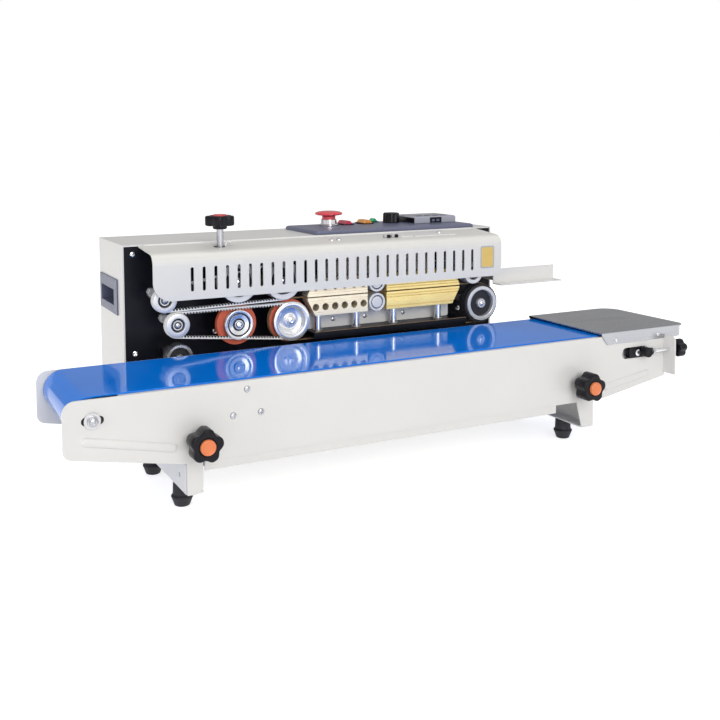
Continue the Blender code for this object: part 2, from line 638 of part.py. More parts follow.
def wheels():
    f = FRONT_Y
    groove_end = BELT_BACK + 0.5
    for name, at, inner in (("left_pulley_lower", LEFT_LOW, 13.4),
                            ("left_pulley_upper", LEFT_TOP, 12.0)):
        tail = [(LEFT_R, BELT_FRONT - 0.4), (inner, BELT_FRONT - 0.4), (inner, groove_end),
                (LEFT_R, groove_end), (LEFT_R, groove_end + 1.6), (SHAFT_R, groove_end + 1.6),
                (SHAFT_R, SHAFT_END), (0.0, SHAFT_END)]
        ring_wheel(name, at, LEFT_R, ALU, tail)
    low_r = SEAL_Z - 0.75 - DRV_LOW[1]
    for name, at, r in (("emboss_tyre", EMB_LOW, EMB_TYRE_R), ("drive_tyre", DRV_LOW, low_r)):
        tyre = [(17.4, TYRE_FRONT), (r, TYRE_FRONT), (r, TYRE_BACK), (17.4, TYRE_BACK)]
        lathe(name, "Y", at, tyre, ORANGE, 24, (at[0], f, at[1]))
    hold = [(17.0, TYRE_FRONT - 0.3), (17.0, TYRE_BACK + 0.6), (SHAFT_R, TYRE_BACK + 0.6),
            (SHAFT_R, SHAFT_END), (0.0, SHAFT_END)]
    back = BELT_FRONT - 0.4
    tail = [(EMB_R, back), (15.0, back), (15.0, groove_end), (17.0, groove_end)]
    ring_wheel("emboss_wheel_lower", EMB_LOW, EMB_R, CHROME, tail + hold[1:], 18, 12.6, 4.0, 7.8)
    r = EMB_TOP_R
    tail = [(r, back), (10.0, back), (10.0, groove_end), (r - 1.0, groove_end),
            (r - 1.0, TYRE_BACK), (SHAFT_R, TYRE_BACK), (SHAFT_R, SHAFT_END), (0.0, SHAFT_END)]
    ring_wheel("emboss_wheel_upper", EMB_TOP, r, ALU, tail, 18, 18.0, 0.9)
    cup = [(0.0, f + 2.0), (5.2, f + 2.0), (5.2, f + 6.4), (17.0, f + 6.4), (20.4, f),
           (DRV_R, f), (DRV_R, back), (DRV_R - TOOTH_T - 0.5, back),
           (DRV_R - TOOTH_T - 0.5, groove_end), (17.0, groove_end)] + hold[1:]
    lathe("drive_wheel_lower", "Y", DRV_LOW, cup, CHROME, 20, (DRV_LOW[0], f, DRV_LOW[1]))
    r = DRV_TOP_R
    rb = DRV_TOP[1] - SEAL_Z - 0.75
    tail = [(r, back), (r - TOOTH_T, back), (r - TOOTH_T, groove_end), (rb, groove_end),
            (rb, TYRE_BACK), (SHAFT_R, TYRE_BACK), (SHAFT_R, SHAFT_END), (0.0, SHAFT_END)]
    ring_wheel("drive_wheel_upper", DRV_TOP, r, ALU, tail, 18, 17.0)
    for name, z in (("pinch_roller_lower", SEAL_Z - 0.75 - PINCH_R),
                    ("pinch_roller_upper", SEAL_Z + 0.75 + PINCH_R)):
        prof = [(0.0, f), (PINCH_R, f), (PINCH_R, TYRE_BACK), (SHAFT_R, TYRE_BACK),
                (SHAFT_R, SHAFT_END), (0.0, SHAFT_END)]
        lathe(name, "Y", (PINCH_X, z), prof, ALU, 18, (PINCH_X, f, z))
    end_r = r = SEAL_Z - 0.75 - END_WHEEL_LOW[1]
    tail = [(24.6, f + 2.4), (r, f + 3.0), (r, TYRE_BACK), (SHAFT_R, TYRE_BACK),
            (SHAFT_R, SHAFT_END), (0.0, SHAFT_END)]
    ring_wheel("end_wheel_lower", END_WHEEL_LOW, 24.2, ALU, tail, 20, 16.0, 6.0, 6.4)
    top_r = r = END_WHEEL_TOP[1] - SEAL_Z - 0.75
    tail = [(r, TYRE_BACK), (SHAFT_R, TYRE_BACK), (SHAFT_R, SHAFT_END), (0.0, SHAFT_END)]
    ring_wheel("end_wheel_upper", END_WHEEL_TOP, r, ALU, tail, 16, 9.0)
    r = CONV_WHEEL_R
    tail = [(r, TYRE_BACK), (SHAFT_R, TYRE_BACK), (SHAFT_R, SHAFT_END), (0.0, SHAFT_END)]
    ring_wheel("conveyor_drive_wheel", CONV_WHEEL, r, STEEL, tail, 14, 12.0)

    g = 0.3
    band("toothed_belt_lower",
         [(LEFT_LOW[0], LEFT_LOW[1], 13.4 + g), (DRV_LOW[0], DRV_LOW[1], DRV_R - TOOTH_T - 0.5 + g)],
         TOOTH_T, BELT_FRONT, BELT_BACK, WHITE_BELT)
    band("toothed_belt_upper",
         [(LEFT_TOP[0], LEFT_TOP[1], 12.0 + g), (DRV_TOP[0], DRV_TOP[1], DRV_TOP_R - TOOTH_T + g)],
         TOOTH_T, BELT_FRONT, BELT_BACK, WHITE_BELT)
    y0 = TYRE_FRONT + 1.0
    y1 = TYRE_BACK - 0.6
    band("sealing_band_lower",
         [(DRV_LOW[0], DRV_LOW[1], low_r + g), (END_WHEEL_LOW[0], END_WHEEL_LOW[1], end_r + g)],
         BAND_T, y0, y1, SEAL, 14.0)
    band("sealing_band_upper",
         [(DRV_TOP[0], DRV_TOP[1], rb + g), (END_WHEEL_TOP[0], END_WHEEL_TOP[1], top_r + g)],
         BAND_T, y0, y1, SEAL, 14.0)


def block_outline(x0, x1, bevel0, bevel1, z0, z1):
    """A sealing block seen from the front, with its outer corners bevelled."""
    return [(x0 + bevel0, z0), (x1 - bevel1, z0), (x1, z1 - 3.0), (x1, z1), (x0, z1),
            (x0, z1 - 3.0)]


def mirrored(points):
    return [(u, 2.0 * SEAL_Z - v) for u, v in reversed(points)]


def blocks():
    front = FRONT_Y + 1.0
    gap = 0.75
    z1 = SEAL_Z - gap
    z0 = z1 - BLOCK_H
    groove = 1.2
    holes = [circle(356.5 + 14.05 * k, z0 + 11.2, 4.7, 8) for k in range(6)]
    cu = block_outline(COPPER_X0, COPPER_X1, 11.0, 0.0, z0, z1)
    au = block_outline(HEAT_X0, HEAT_X1, 0.0, 11.5, z0, z1)
    for name, look, pts, bores in (("cooling_block_lower", COPPER, cu, holes),
                                   ("cooling_block_upper", COPPER, mirrored(cu),
                                    [mirrored(h) for h in holes]),
                                   ("heating_block_lower", GOLD, au, []),
                                   ("heating_block_upper", GOLD, mirrored(au), [])):
        up = name.endswith("upper")
        block = prism(name, "Y", pts, front, BACK_Y, look)
        lines = []
        for dz in (4.6, 8.0):
            z = SEAL_Z + dz if up else SEAL_Z - dz
            lines.append(rect(300.0, 640.0, z - 0.6, z + 0.6))
        if not bores:
            z = SEAL_Z + BLOCK_H - 3.4 if up else SEAL_Z - BLOCK_H + 3.4
            lines.append(rect(300.0, 640.0, z - 0.5, z + 0.5))
        cut(block, many(name + "_grooves", "Y", lines, front - 3.0, front + groove))
        if bores:
            cut(block, many(name + "_bores", "Y", bores, front - 3.0, BACK_Y + 3.0))
    ly = HOUSE_Y0 + 0.7
    fy = FRONT_Y - 4.0
    shelf = [(fy, LEDGE_Z - 8.0), (fy + 2.0, LEDGE_Z - 8.0), (fy + 2.0, LEDGE_Z - 2.0),
             (ly, LEDGE_Z - 2.0), (ly, LEDGE_Z), (fy, LEDGE_Z)]
    ledge = prism("spring_ledge", "X", shelf, 352.0, 587.0, BLACK)
    posts = [circle(x, FRONT_Y + 9.0, 3.4, 8) for x in (363.0, 419.5, 476.5, 548.0)]
    join(ledge, many("posts", "Z", posts, LEDGE_Z - 1.0, z0 - 0.3))


def top():
    z = HOUSE_Z1 + 0.3
    zt = z + BEZEL_T
    outline = rect(BEZEL_X0, BEZEL_X1, BEZEL_Y0, BEZEL_Y1, 5.0, 3)
    small = rect(BEZEL_X0 + 2.5, BEZEL_X1 - 2.5, BEZEL_Y0 + 2.5, BEZEL_Y1 - 2.5, 4.0, 3)
    rings = [[place("Z", u, v, w) for u, v in line]
             for line, w in ((outline, z), (outline, zt - 2.0), (small, zt))]
    plate = loft("control_plate", rings, GREY)
    at = (STOP_X, STOP_Y)
    collar = [(0.0, zt + 0.3), (15.0, zt + 0.3), (15.0, zt + 2.0), (12.4, zt + 2.6),
              (12.4, zt + 9.0), (9.0, zt + 9.0), (9.0, zt + 3.0), (0.0, zt + 3.0)]
    lathe("stop_collar", "Z", at, collar, CHROME, 14)
    b = zt + 7.4
    button = [(0.0, b), (8.4, b), (8.4, zt + 13.2), (13.0, zt + 13.6), (20.8, zt + 14.4),
              (21.4, zt + 16.2), (20.2, zt + 18.6), (12.0, zt + 20.8), (0.0, zt + 21.4)]
    lathe("stop_button", "Z", at, button, RED, 18, (STOP_X, STOP_Y, b))
    pockets = []
    ry = BEZEL_Y0 + 71.0
    base_z = zt - ROCKER_SUNK
    for name, x, w, y0, y1, look in (("rocker_red", STOP_X + 29.5, 15.5, ry, ry + 24.0, PINK),
                                     ("rocker_amber", STOP_X + 60.5, 22.0, ry, ry + 24.0, AMBER),
                                     ("rocker_green", DIAL_X - 20.0, 13.0, ry + 22.5, ry + 33.0,
                                      GREEN)):
        half = w / 2.0
        pts = [(x - half, base_z), (x + half, base_z), (x + half, zt + 2.6),
               (x + half - 3.0, zt + 5.6), (x - half + 3.0, zt + 5.6), (x - half, zt + 2.6)]
        prism(name, "Y", pts, y0, y1, look, (x, (y0 + y1) / 2.0, base_z + 1.0))
        pockets.append(rect(x - half - 0.5, x + half + 0.5, y0 - 0.5, y1 + 0.5))
    cut(plate, many("rocker_pockets", "Z", pockets, zt - POCKET_DEEP, zt + 3.0))
    n = 18
    rings = []
    for r, h in ((13.0, zt + 0.5), (13.8, zt + 1.4), (13.8, zt + 10.0), (12.4, zt + 11.6)):
        rings.append([place("Z", DIAL_X + (r - 0.6 * (k % 2)) * math.cos(2 * math.pi * k / n),
                            DIAL_Y + (r - 0.6 * (k % 2)) * math.sin(2 * math.pi * k / n), h)
                      for k in range(n)])
    loft("speed_dial", rings, PLASTIC, (DIAL_X, DIAL_Y, zt), True)
    cz = zt + 0.3
    cx = (BEZEL_X1 - 79.0, BEZEL_X1 - 7.0)
    cy = (BEZEL_Y0 + 38.0, BEZEL_Y0 + 98.0)
    outer = rect(cx[0], cx[1], cy[0], cy[1], 2.0, 2)
    inner = rect(cx[0] + 2.0, cx[1] - 2.0, cy[0] + 2.0, cy[1] - 2.0, 2.0, 2)
    rings = [[place("Z", u, v, w) for u, v in line]
             for line, w in ((outer, cz), (outer, cz + 6.6), (inner, cz + 8.4))]
    loft("controller", rings, GREY)
    stem = [(0.0, 236.0), (STEM_R, 236.0), (STEM_R, 284.0), (8.5, 284.0), (8.5, 290.0),
            (0.0, 290.0)]
    star_knob("pressure_knob", "Z", (STEM_X, STEM_Y), 288.0, 308.5, KNOB_R, PLASTIC, stem,
              (STEM_X, STEM_Y, 236.0), 30.0)


clear()
conveyor()
base()
housing()
guard()
wheels()
blocks()
top()
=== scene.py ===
from math import acos, atan2, ceil, cos, degrees, hypot, pi, radians, remainder, sin, tan

import bmesh
import bpy
from mathutils import Matrix, Vector


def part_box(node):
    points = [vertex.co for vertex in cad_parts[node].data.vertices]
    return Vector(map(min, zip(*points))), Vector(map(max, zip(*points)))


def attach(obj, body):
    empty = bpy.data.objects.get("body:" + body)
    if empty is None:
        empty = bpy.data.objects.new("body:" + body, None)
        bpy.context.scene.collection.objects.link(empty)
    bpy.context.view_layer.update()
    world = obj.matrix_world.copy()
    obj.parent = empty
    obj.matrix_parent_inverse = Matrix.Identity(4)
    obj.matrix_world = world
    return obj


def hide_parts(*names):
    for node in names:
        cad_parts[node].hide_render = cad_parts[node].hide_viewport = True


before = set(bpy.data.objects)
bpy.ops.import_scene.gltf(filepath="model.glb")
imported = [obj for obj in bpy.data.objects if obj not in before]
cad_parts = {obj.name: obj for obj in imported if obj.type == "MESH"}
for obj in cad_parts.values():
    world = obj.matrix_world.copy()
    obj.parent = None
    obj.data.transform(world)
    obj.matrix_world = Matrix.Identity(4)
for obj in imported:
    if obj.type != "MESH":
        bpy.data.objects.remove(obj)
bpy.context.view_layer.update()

# Sizes are in millimetres in the machine's own frame: X 0 is the conveyor's left
# end, Y 0 the outer face of its front plate, Z 0 the floor.
PLATE_T = 2
PLATE_LOW, PLATE_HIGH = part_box("conveyor_front_plate")
ORIGIN = Vector((PLATE_LOW.x, PLATE_HIGH.y - PLATE_T / 1000, 0))
SCENE = bpy.context.scene

TURNS = {"Z": Matrix.Identity(4), "Y": Matrix.Rotation(pi / 2, 4, "X"),
         "X": Matrix.Rotation(pi / 2, 4, "Y"), "back": Matrix.Rotation(-pi / 2, 4, "X"),
         "left": Matrix.Rotation(-pi / 2, 4, "Y"),}


def spot(x, y, z):
    """A place in the machine's frame as a point of the row frame, in metres."""
    return ORIGIN + Vector((x, y, z)) / 1000


def order(axis, u, v, w):
    """Puts two coordinates across an axis and one along it in the order x, y, z."""
    return {"X": (w, u, v), "Y": (u, w, v), "Z": (u, v, w)}[axis]


def place(axis, u, v, w):
    return spot(*order(axis, u, v, w))


# Materials


def add(tree, kind, constants, links):
    """A new node with constants on some sockets and links into others."""
    node = tree.nodes.new("ShaderNode" + kind)
    for socket, value in constants.items():
        node.inputs[socket].default_value = value
    for socket, source in links.items():
        tree.links.new(source, node.inputs[socket])
    return node


def shader(name, colour, rough, metal, coat):
    mat = bpy.data.materials.new(name)
    mat.use_nodes = True
    skin = mat.node_tree.nodes["Principled BSDF"]
    skin.inputs["Base Color"].default_value = (*colour, 1)
    skin.inputs["Roughness"].default_value = rough
    skin.inputs["Metallic"].default_value = metal
    skin.inputs["Coat Weight"].default_value = coat
    skin.inputs["Coat Roughness"].default_value = 0.06
    mat.diffuse_color = (*colour, 1)
    return mat, mat.node_tree, skin


def noise(tree, vector, scale, detail=3):
    return add(tree, "TexNoise", {"Scale": scale, "Detail": detail}, {"Vector": vector}).outputs["Fac"]


def spread(tree, value, low, high, start=0.3, end=0.7):
    limits = {"From Min": start, "From Max": end, "To Min": low, "To Max": high}
    return add(tree, "MapRange", limits, {"Value": value}).outputs["Result"]


def stretched(tree, scale=(1, 1, 1)):
    coords = add(tree, "TexCoord", {}, {})
    return add(tree, "Mapping", {"Scale": scale}, {"Vector": coords.outputs["Object"]}).outputs["Vector"]


def tint(tree, skin, patch, colour, vary):
    """Patches of the colour made darker and lighter by a share."""
    darker = [c * (1 - vary) for c in colour]
    lighter = [min(1, c * (1 + vary)) for c in colour]
    patches = spread(tree, noise(tree, stretched(tree), patch), 0, 1)
    mix = add(tree, "Mix", {6: (*darker, 1), 7: (*lighter, 1)}, {0: patches})
    mix.data_type = "RGBA"
    tree.links.new(mix.outputs[2], skin.inputs["Base Color"])


def raised(tree, skin, height, strength, depth):
    bump = add(tree, "Bump", {"Strength": strength, "Distance": depth / 1000}, {"Height": height})
    tree.links.new(bump.outputs["Normal"], skin.inputs["Normal"])


def look(name, slot, colour, rough, metal=0, coat=0, vary=0.05, patch=12, swing=0.05, grain=1400,
         bump=0.15, depth=0.02, scale=(1, 1, 1), shine=0.5, ior=1.5):
    """Paint, plastic, rubber or brushed metal: patches of tone and gloss over a fine grain."""
    mat, tree, skin = shader(name, colour, rough, metal, coat)
    skin.inputs["Specular IOR Level"].default_value = shine
    skin.inputs["IOR"].default_value = ior
    tint(tree, skin, patch, colour, vary)
    along = stretched(tree, scale)
    streaks = noise(tree, along, grain / 6, 2)
    tree.links.new(spread(tree, streaks, max(0.02, rough - swing), rough + swing),
                   skin.inputs["Roughness"])
    raised(tree, skin, noise(tree, along, grain, 2), bump, depth)
    return mat


def turned_look(name, colour, rough, rings, vary, bump, metal):
    """Metal turned on a lathe: fine rings round the piece's own Z axis."""
    mat, tree, skin = shader(name, colour, rough, metal, 0)
    tint(tree, skin, 60, colour, vary)
    reach = add(tree, "VectorMath", {}, {0: stretched(tree, (1, 1, 0))})
    reach.operation = "LENGTH"
    ring = add(tree, "TexNoise", {"Scale": rings, "Detail": 2}, {})
    ring.noise_dimensions = "1D"
    tree.links.new(reach.outputs["Value"], ring.inputs["W"])
    tree.links.new(spread(tree, ring.outputs["Fac"], max(0.03, rough - 0.07), rough + 0.07),
                   skin.inputs["Roughness"])
    raised(tree, skin, ring.outputs["Fac"], bump, 0.01)
    return mat


PAINT = {"vary": 0.015, "grain": 900, "bump": 0.1, "depth": 0.03}
CREAM = look("powder_coat_cream", "cream", (0.775, 0.765, 0.75), 0.36, coat=0.25, **PAINT)
# Painted light: the guard wears the same cream paint, made warmer here to cancel the blue light that the
# belt bounces onto it.
CREAM_WARMED_FOR_BOUNCE = look("powder_coat_cream_warmed_for_bounce", "cream", (0.775, 0.76, 0.722), 0.36, coat=0.2, **PAINT)
BLACK = look("black_enamel", "black_paint", (0.004, 0.0048, 0.0095), 0.34, vary=0.25, patch=20, grain=1100,
             bump=0.1, shine=0.2)
STEEL = look("brushed_stainless", "steel", (0.45, 0.46, 0.49), 0.25, 1, patch=16, swing=0.08, grain=120,
             bump=0.06, depth=0.01, scale=(0.35, 14, 14))
ZINC = look("zinc_plate", "steel", (0.54, 0.54, 0.56), 0.3, 1, vary=0.08, patch=90, grain=900)
CHROME = look("chrome", "chrome", (0.8, 0.8, 0.82), 0.1, 1, vary=0.03, patch=80, swing=0.03, grain=500,
              bump=0.03, depth=0.01)
TURNED = turned_look("turned_aluminium", (0.7, 0.7, 0.71), 0.36, 5200, 0.05, 0.25, 0.55)
TURNED_CHROME = turned_look("turned_chrome", (0.8, 0.8, 0.81), 0.15, 3600, 0.03, 0.1, 0.82)
RUBBER = look("black_rubber", "rubber", (0.014, 0.014, 0.019), 0.62, vary=0.3, patch=60, grain=1800,
              bump=0.35, depth=0.05)
ORANGE = look("orange_silicone", "orange_rubber", (0.68, 0.125, 0.06), 0.52, vary=0.08, patch=70,
              grain=1500, bump=0.25, depth=0.04)
BLUE = look("blue_belt_face", "blue_belt", (0.0003, 0.2, 0.82), 0.08, vary=0.06, patch=9, swing=0.04,
            grain=420, bump=0.04, depth=0.03, ior=1.42)
BELT = look("urethane_belt", "white_belt", (0.84, 0.83, 0.79), 0.55, patch=120, grain=1600, bump=0.25,
            depth=0.04)
# Painted shade: a near-black copy of the white belt for the faces between the teeth, where light does not
# reach.
BELT_ROOT_SHADE = look("urethane_belt_painted_root_shade", "white_belt", (0.055, 0.055, 0.058), 0.6, vary=0.2, patch=120,
                grain=1600, bump=0.25, depth=0.04)
BAND = look("coated_band", "seal_band", (0.36, 0.235, 0.13), 0.46, vary=0.12, patch=70, grain=1900,
            bump=0.35, depth=0.04)
PLASTIC = look("black_plastic", "black_plastic", (0.0045, 0.0045, 0.0085), 0.3, vary=0.2, patch=50,
               grain=1500, bump=0.18, depth=0.03, shine=0.22)
CAP, CAP_RED = [look(name + "_cap_plastic", "orange_cap", colour, 0.38, patch=80, grain=1300) for name,
                colour in (("orange", (0.83, 0.235, 0.085)), ("red", (0.62, 0.085, 0.09)))]
RED = look("red_gloss_plastic", "red_button", (0.74, 0.045, 0.068), 0.24, coat=0.5, vary=0.06, patch=50)
PINK, AMBER, GREEN = [look(name + "_rocker_plastic", name + "_rocker", colour, 0.26, coat=0.4, vary=0.06,
                           patch=90) for name, colour in (("red", (0.6, 0.045, 0.1)),
                                                          ("amber", (0.8, 0.33, 0.045)),
                                                          ("green", (0.03, 0.42, 0.2)))]
GREY = look("blue_grey_plastic", "blue_grey", (0.125, 0.135, 0.215), 0.36, vary=0.06, patch=40, grain=1300,
            bump=0.22, depth=0.03)
PALE_GREY = look("pale_grey_plastic", "blue_grey", (0.36, 0.37, 0.43), 0.36, vary=0.04, patch=50)
GLASS = look("dark_display", "black_plastic", (0.008, 0.009, 0.014), 0.08, coat=0.8, vary=0.2, patch=30)
MILLED = {"patch": 50, "grain": 160, "bump": 0.08, "depth": 0.01, "scale": (0.5, 10, 10)}
GOLD = look("gold_anodised", "gold_anodised", (1, 0.77, 0.32), 0.3, 0.72, **MILLED)
COPPER = look("pale_copper_anodised", "copper_anodised", (1, 0.87, 0.66), 0.3, 0.62, **MILLED)
LABEL = look("amber_foil", "gold_anodised", (0.8, 0.56, 0.16), 0.4, vary=0.04, patch=120)
LABEL_EDGE = look("silver_foil", "steel", (0.47, 0.47, 0.48), 0.36, patch=120)
# Painted highlight: a thin brownish metal colour for the light caught along the black ledge's front edge.
LEDGE_HIGHLIGHT = look("ledge_painted_highlight", "steel", (0.2, 0.135, 0.085), 0.4, 0.6, vary=0.2, patch=60)


# Mesh helpers

SHARP, FLAT = 32, 0.5


def added(name, data):
    ob = bpy.data.objects.new(name, data)
    SCENE.collection.objects.link(ob)
    return ob


def smooth(mesh):
    mesh.shade_smooth()
    mesh.set_sharp_from_angle(angle=radians(SHARP))


def merge_flat(bm):
    bmesh.ops.dissolve_limit(bm, angle_limit=radians(FLAT), verts=bm.verts[:], edges=bm.edges[:])


def evaluated(ob):
    graph = bpy.context.evaluated_depsgraph_get()
    return bpy.data.meshes.new_from_object(ob.evaluated_get(graph))


def finish(name, bm, mat, at=(0, 0, 0), axis="Z"):
    """Turns a bmesh in row frame metres into an object with its origin at a point."""
    bmesh.ops.recalc_face_normals(bm, faces=bm.faces[:])
    stand = Matrix.Translation(spot(*at)) @ TURNS[axis]
    bm.transform(stand.inverted())
    mesh = bpy.data.meshes.new(name)
    bm.to_mesh(mesh)
    bm.free()
    if mat is not None:
        mesh.materials.append(mat)
    smooth(mesh)
    ob = added(name, mesh)
    ob.matrix_world = stand
    return ob


def soften(ob, width, segments=2):
    mod = ob.modifiers.new("soft_edges", "BEVEL")
    mod.limit_method = "ANGLE"
    mod.angle_limit = radians(SHARP)
    mod.width = width / 1000
    mod.segments = segments
    mod.harden_normals = True


def put(ob, body, *nodes, soft=0, slot=None):
    """Rides a piece on a body, with the nodes that it stands for; its slot is not used."""
    if soft > 0:
        soften(ob, soft)
    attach(ob, body)
    if nodes:
        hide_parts(*nodes)


def skin_rings(bm, rings, closed=False):
    rows = [[bm.verts.new(p) for p in ring] for ring in rings]
    n = len(rows[0])
    count = len(rows)
    for i in range(count if closed else count - 1):
        a = rows[i]
        b = rows[(i + 1) % count]
        for k in range(n):
            bm.faces.new((a[k], a[(k + 1) % n], b[(k + 1) % n], b[k]))
    if not closed:
        bm.faces.new(rows[0])
        bm.faces.new(rows[-1])


def loft(name, rings, mat, at=(0, 0, 0), axis="Z", closed=False):
    bm = bmesh.new()
    skin_rings(bm, rings, closed)
    return finish(name, bm, mat, at, axis)


def walls(axis, outline, lo, hi):
    return [[place(axis, u, v, w) for u, v in outline] for w in (lo, hi)]


def prism(name, axis, outline, lo, hi, mat, at=(0, 0, 0)):
    return loft(name, walls(axis, outline, lo, hi), mat, at)


def slab(body, soft, name, *shape):
    """A prism that rides on a body."""
    put(prism(name, *shape), body, soft=soft)


def rounded(points, radii, steps=8):
    """A closed outline with its corners rounded."""
    out = []
    n = len(points)
    for i in range(n):
        p = Vector(points[i])
        a = (Vector(points[i - 1]) - p).normalized()
        b = (Vector(points[(i + 1) % n]) - p).normalized()
        r = radii[i] if isinstance(radii, (list, tuple)) else radii
        if r <= 0:
            out.append((p.x, p.y))
            continue
        half = a.angle(b) / 2
        reach = r / tan(half)
        centre = p + (a + b).normalized() * (r / sin(half))
        first = p + a * reach - centre
        last = p + b * reach - centre
        start = atan2(first.y, first.x)
        sweep = remainder(atan2(last.y, last.x) - start, 2 * pi)
        for k in range(steps + 1):
            ang = start + sweep * k / steps
            out.append((centre.x + r * cos(ang), centre.y + r * sin(ang)))
    return out


def rect(u0, u1, v0, v1, r=0, steps=8):
    return rounded([(u0, v0), (u1, v0), (u1, v1), (u0, v1)], r, steps)


def circle(u, v, r, n=40):
    return [(u + r * cos(2 * pi * k / n), v + r * sin(2 * pi * k / n)) for k in range(n)]


def plate(name, axis, outlines, lo, hi, mat):
    """A flat sheet: the first outline filled, with the others as holes through it."""
    curve = bpy.data.curves.new(name + "_line", "CURVE")
    curve.dimensions = "2D"
    curve.fill_mode = "BOTH"
    curve.extrude = (hi - lo) / 2
    for outline in outlines:
        spline = curve.splines.new("POLY")
        spline.points.add(len(outline) - 1)
        for point, (u, v) in zip(spline.points, outline):
            point.co = (u, v, 0, 1)
        spline.use_cyclic_u = True
    guide = added(name + "_line", curve)
    mesh = evaluated(guide)
    bm = bmesh.new()
    bm.from_mesh(mesh)
    bpy.data.meshes.remove(mesh)
    bpy.data.objects.remove(guide)
    bmesh.ops.remove_doubles(bm, verts=bm.verts[:], dist=1e-3)
    merge_flat(bm)
    for vert in bm.verts:
        vert.co = place(axis, vert.co.x, vert.co.y, vert.co.z + (lo + hi) / 2)
    return finish(name, bm, mat)


def turned(name, axis, at, profile, mat, seg=56, body=None, nodes=(), soft=0.25, slot=None):
    """Turns a profile of (radius, position along the axis) round an axis through (u, v)."""
    bm = bmesh.new()
    rows = []
    for r, h in profile:
        line = circle(*at, r, seg) if r > 0 else [at]
        rows.append([bm.verts.new(place(axis, u, v, h)) for u, v in line])
    count = len(rows)
    for i in range(count if profile[0][0] > 0 else count - 1):
        a = rows[i]
        b = rows[(i + 1) % count]
        for k in range(seg):
            j = (k + 1) % seg
            if len(a) > 1 and len(b) > 1:
                bm.faces.new((a[k], a[j], b[j], b[k]))
            elif len(b) > 1:
                bm.faces.new((a[0], b[j], b[k]))
            elif len(a) > 1:
                bm.faces.new((a[k], a[j], b[0]))
    ob = finish(name, bm, mat, order(axis, *at, profile[0][1]), axis)
    if body is not None:
        put(ob, body, *nodes, soft=soft, slot=slot)
    return ob


def lifted(profile, start, d=1):
    return [(r, start + d * h) for r, h in profile]


def lathe(node, axis, at, profile, mat, seg, body, soft):
    """A turned piece that stands for a node."""
    turned(node + "_turned", axis, at, profile, mat, seg, body, (node,), soft)


def carve(ob, cutter, kind="DIFFERENCE"):
    """Cuts or joins another solid at once, and removes it."""
    mod = ob.modifiers.new("shape", "BOOLEAN")
    mod.operation = kind
    mod.solver = "EXACT"
    mod.object = cutter
    mesh = evaluated(ob)
    ob.modifiers.remove(mod)
    old = ob.data
    ob.data = mesh
    bpy.data.meshes.remove(old)
    bpy.data.objects.remove(cutter)
    bm = bmesh.new()
    bm.from_mesh(mesh)
    merge_flat(bm)
    bm.to_mesh(mesh)
    bm.free()
    smooth(mesh)


def many(name, axis, outlines, lo, hi):
    """Several separate prisms in one cutter."""
    bm = bmesh.new()
    for outline in outlines:
        skin_rings(bm, walls(axis, outline, lo, hi))
    return finish(name, bm, None)


def dress(node, mat, soft, segments=2):
    """Keeps a CAD node with a finished material and softened edges."""
    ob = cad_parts[node]
    for slot in ob.material_slots:
        slot.material = mat
    weld = ob.modifiers.new("weld", "WELD")
    weld.merge_threshold = 0.00001
    merge = ob.modifiers.new("flat_faces", "DECIMATE")
    merge.decimate_type = "DISSOLVE"
    merge.angle_limit = radians(FLAT)
    soften(ob, soft, segments)


# Screws and bolts share a mesh for each size

SCREWS = {}


def screw(name, x, y, z, r, body, axis="Y", mat=CHROME, kind="cross", spin=20):
    """A round head with a cross or a hexagon socket."""
    key = (r, kind, mat.name)
    if key not in SCREWS:
        dome = [(0, 0), (r, 0), (r, r * 0.18), (r * 0.86, r * 0.42), (r * 0.5, r * 0.58), (0, r * 0.62)]
        head = turned("head", "Z", (0, 0), dome, mat, 32)
        recess = circle(0, 0, r * 0.46, 6)
        if kind == "cross":
            arms = r * 0.58
            thin = r * 0.13
            arm = ((thin, -arms), (thin, -thin), (arms, -thin))
            turns = ((1, 0), (0, 1), (-1, 0), (0, -1))
            recess = [(u * c - v * s, u * s + v * c) for c, s in turns for u, v in arm]
        carve(head, prism("socket", "Z", recess, r * 0.2, r, None))
        head.data.transform(Matrix.Translation(-spot(0, 0, 0)) @ head.matrix_world)
        SCREWS[key] = head.data
        bpy.data.objects.remove(head)
    ob = added(name, SCREWS[key])
    ob.matrix_world = (Matrix.Translation(spot(x, y, z)) @ TURNS[axis] @ Matrix.Rotation(radians(spin), 4,
                                                                                         "Z"))
    put(ob, body, soft=0.12)


def bar(name, axis, at, r, lo, hi, mat, body, chamfer=0.5, slot=None):
    profile = [(0, lo), (r - chamfer, lo), (r, lo + chamfer), (r, hi - chamfer), (r - chamfer, hi),
               (0, hi)]
    return turned(name, axis, at, profile, mat, 36, body, (), 0, slot)


# Belts and bands

TOOTH_ROOT, RUN = 1.7, 0.3


def loop_line(circles, step=3):
    """Points and outward directions along a belt's inner side, counter-clockwise."""
    n = len(circles)
    leave = []
    for i in range(n):
        x0, z0, r0 = circles[i]
        x1, z1, r1 = circles[(i + 1) % n]
        dist = hypot(x1 - x0, z1 - z0)
        leave.append(atan2(z1 - z0, x1 - x0) - acos((r0 - r1) / dist))
    line = []
    for i in range(n):
        start = leave[i - 1]
        sweep = (leave[i] - start) % (2 * pi)
        parts = max(1, ceil(degrees(sweep) / step))
        x, z, r = circles[i]
        for k in range(parts + 1):
            ang = start + sweep * k / parts
            out = Vector((cos(ang), sin(ang)))
            line.append((Vector((x, z)) + out * r, out))
    return line


def reaches(line):
    """A closed line's points, back to its first, with the length up to each."""
    closed = line + [line[0]]
    reach = [0]
    for (p, _), (q, _) in zip(closed, closed[1:]):
        reach.append(reach[-1] + (q - p).length)
    return closed, reach


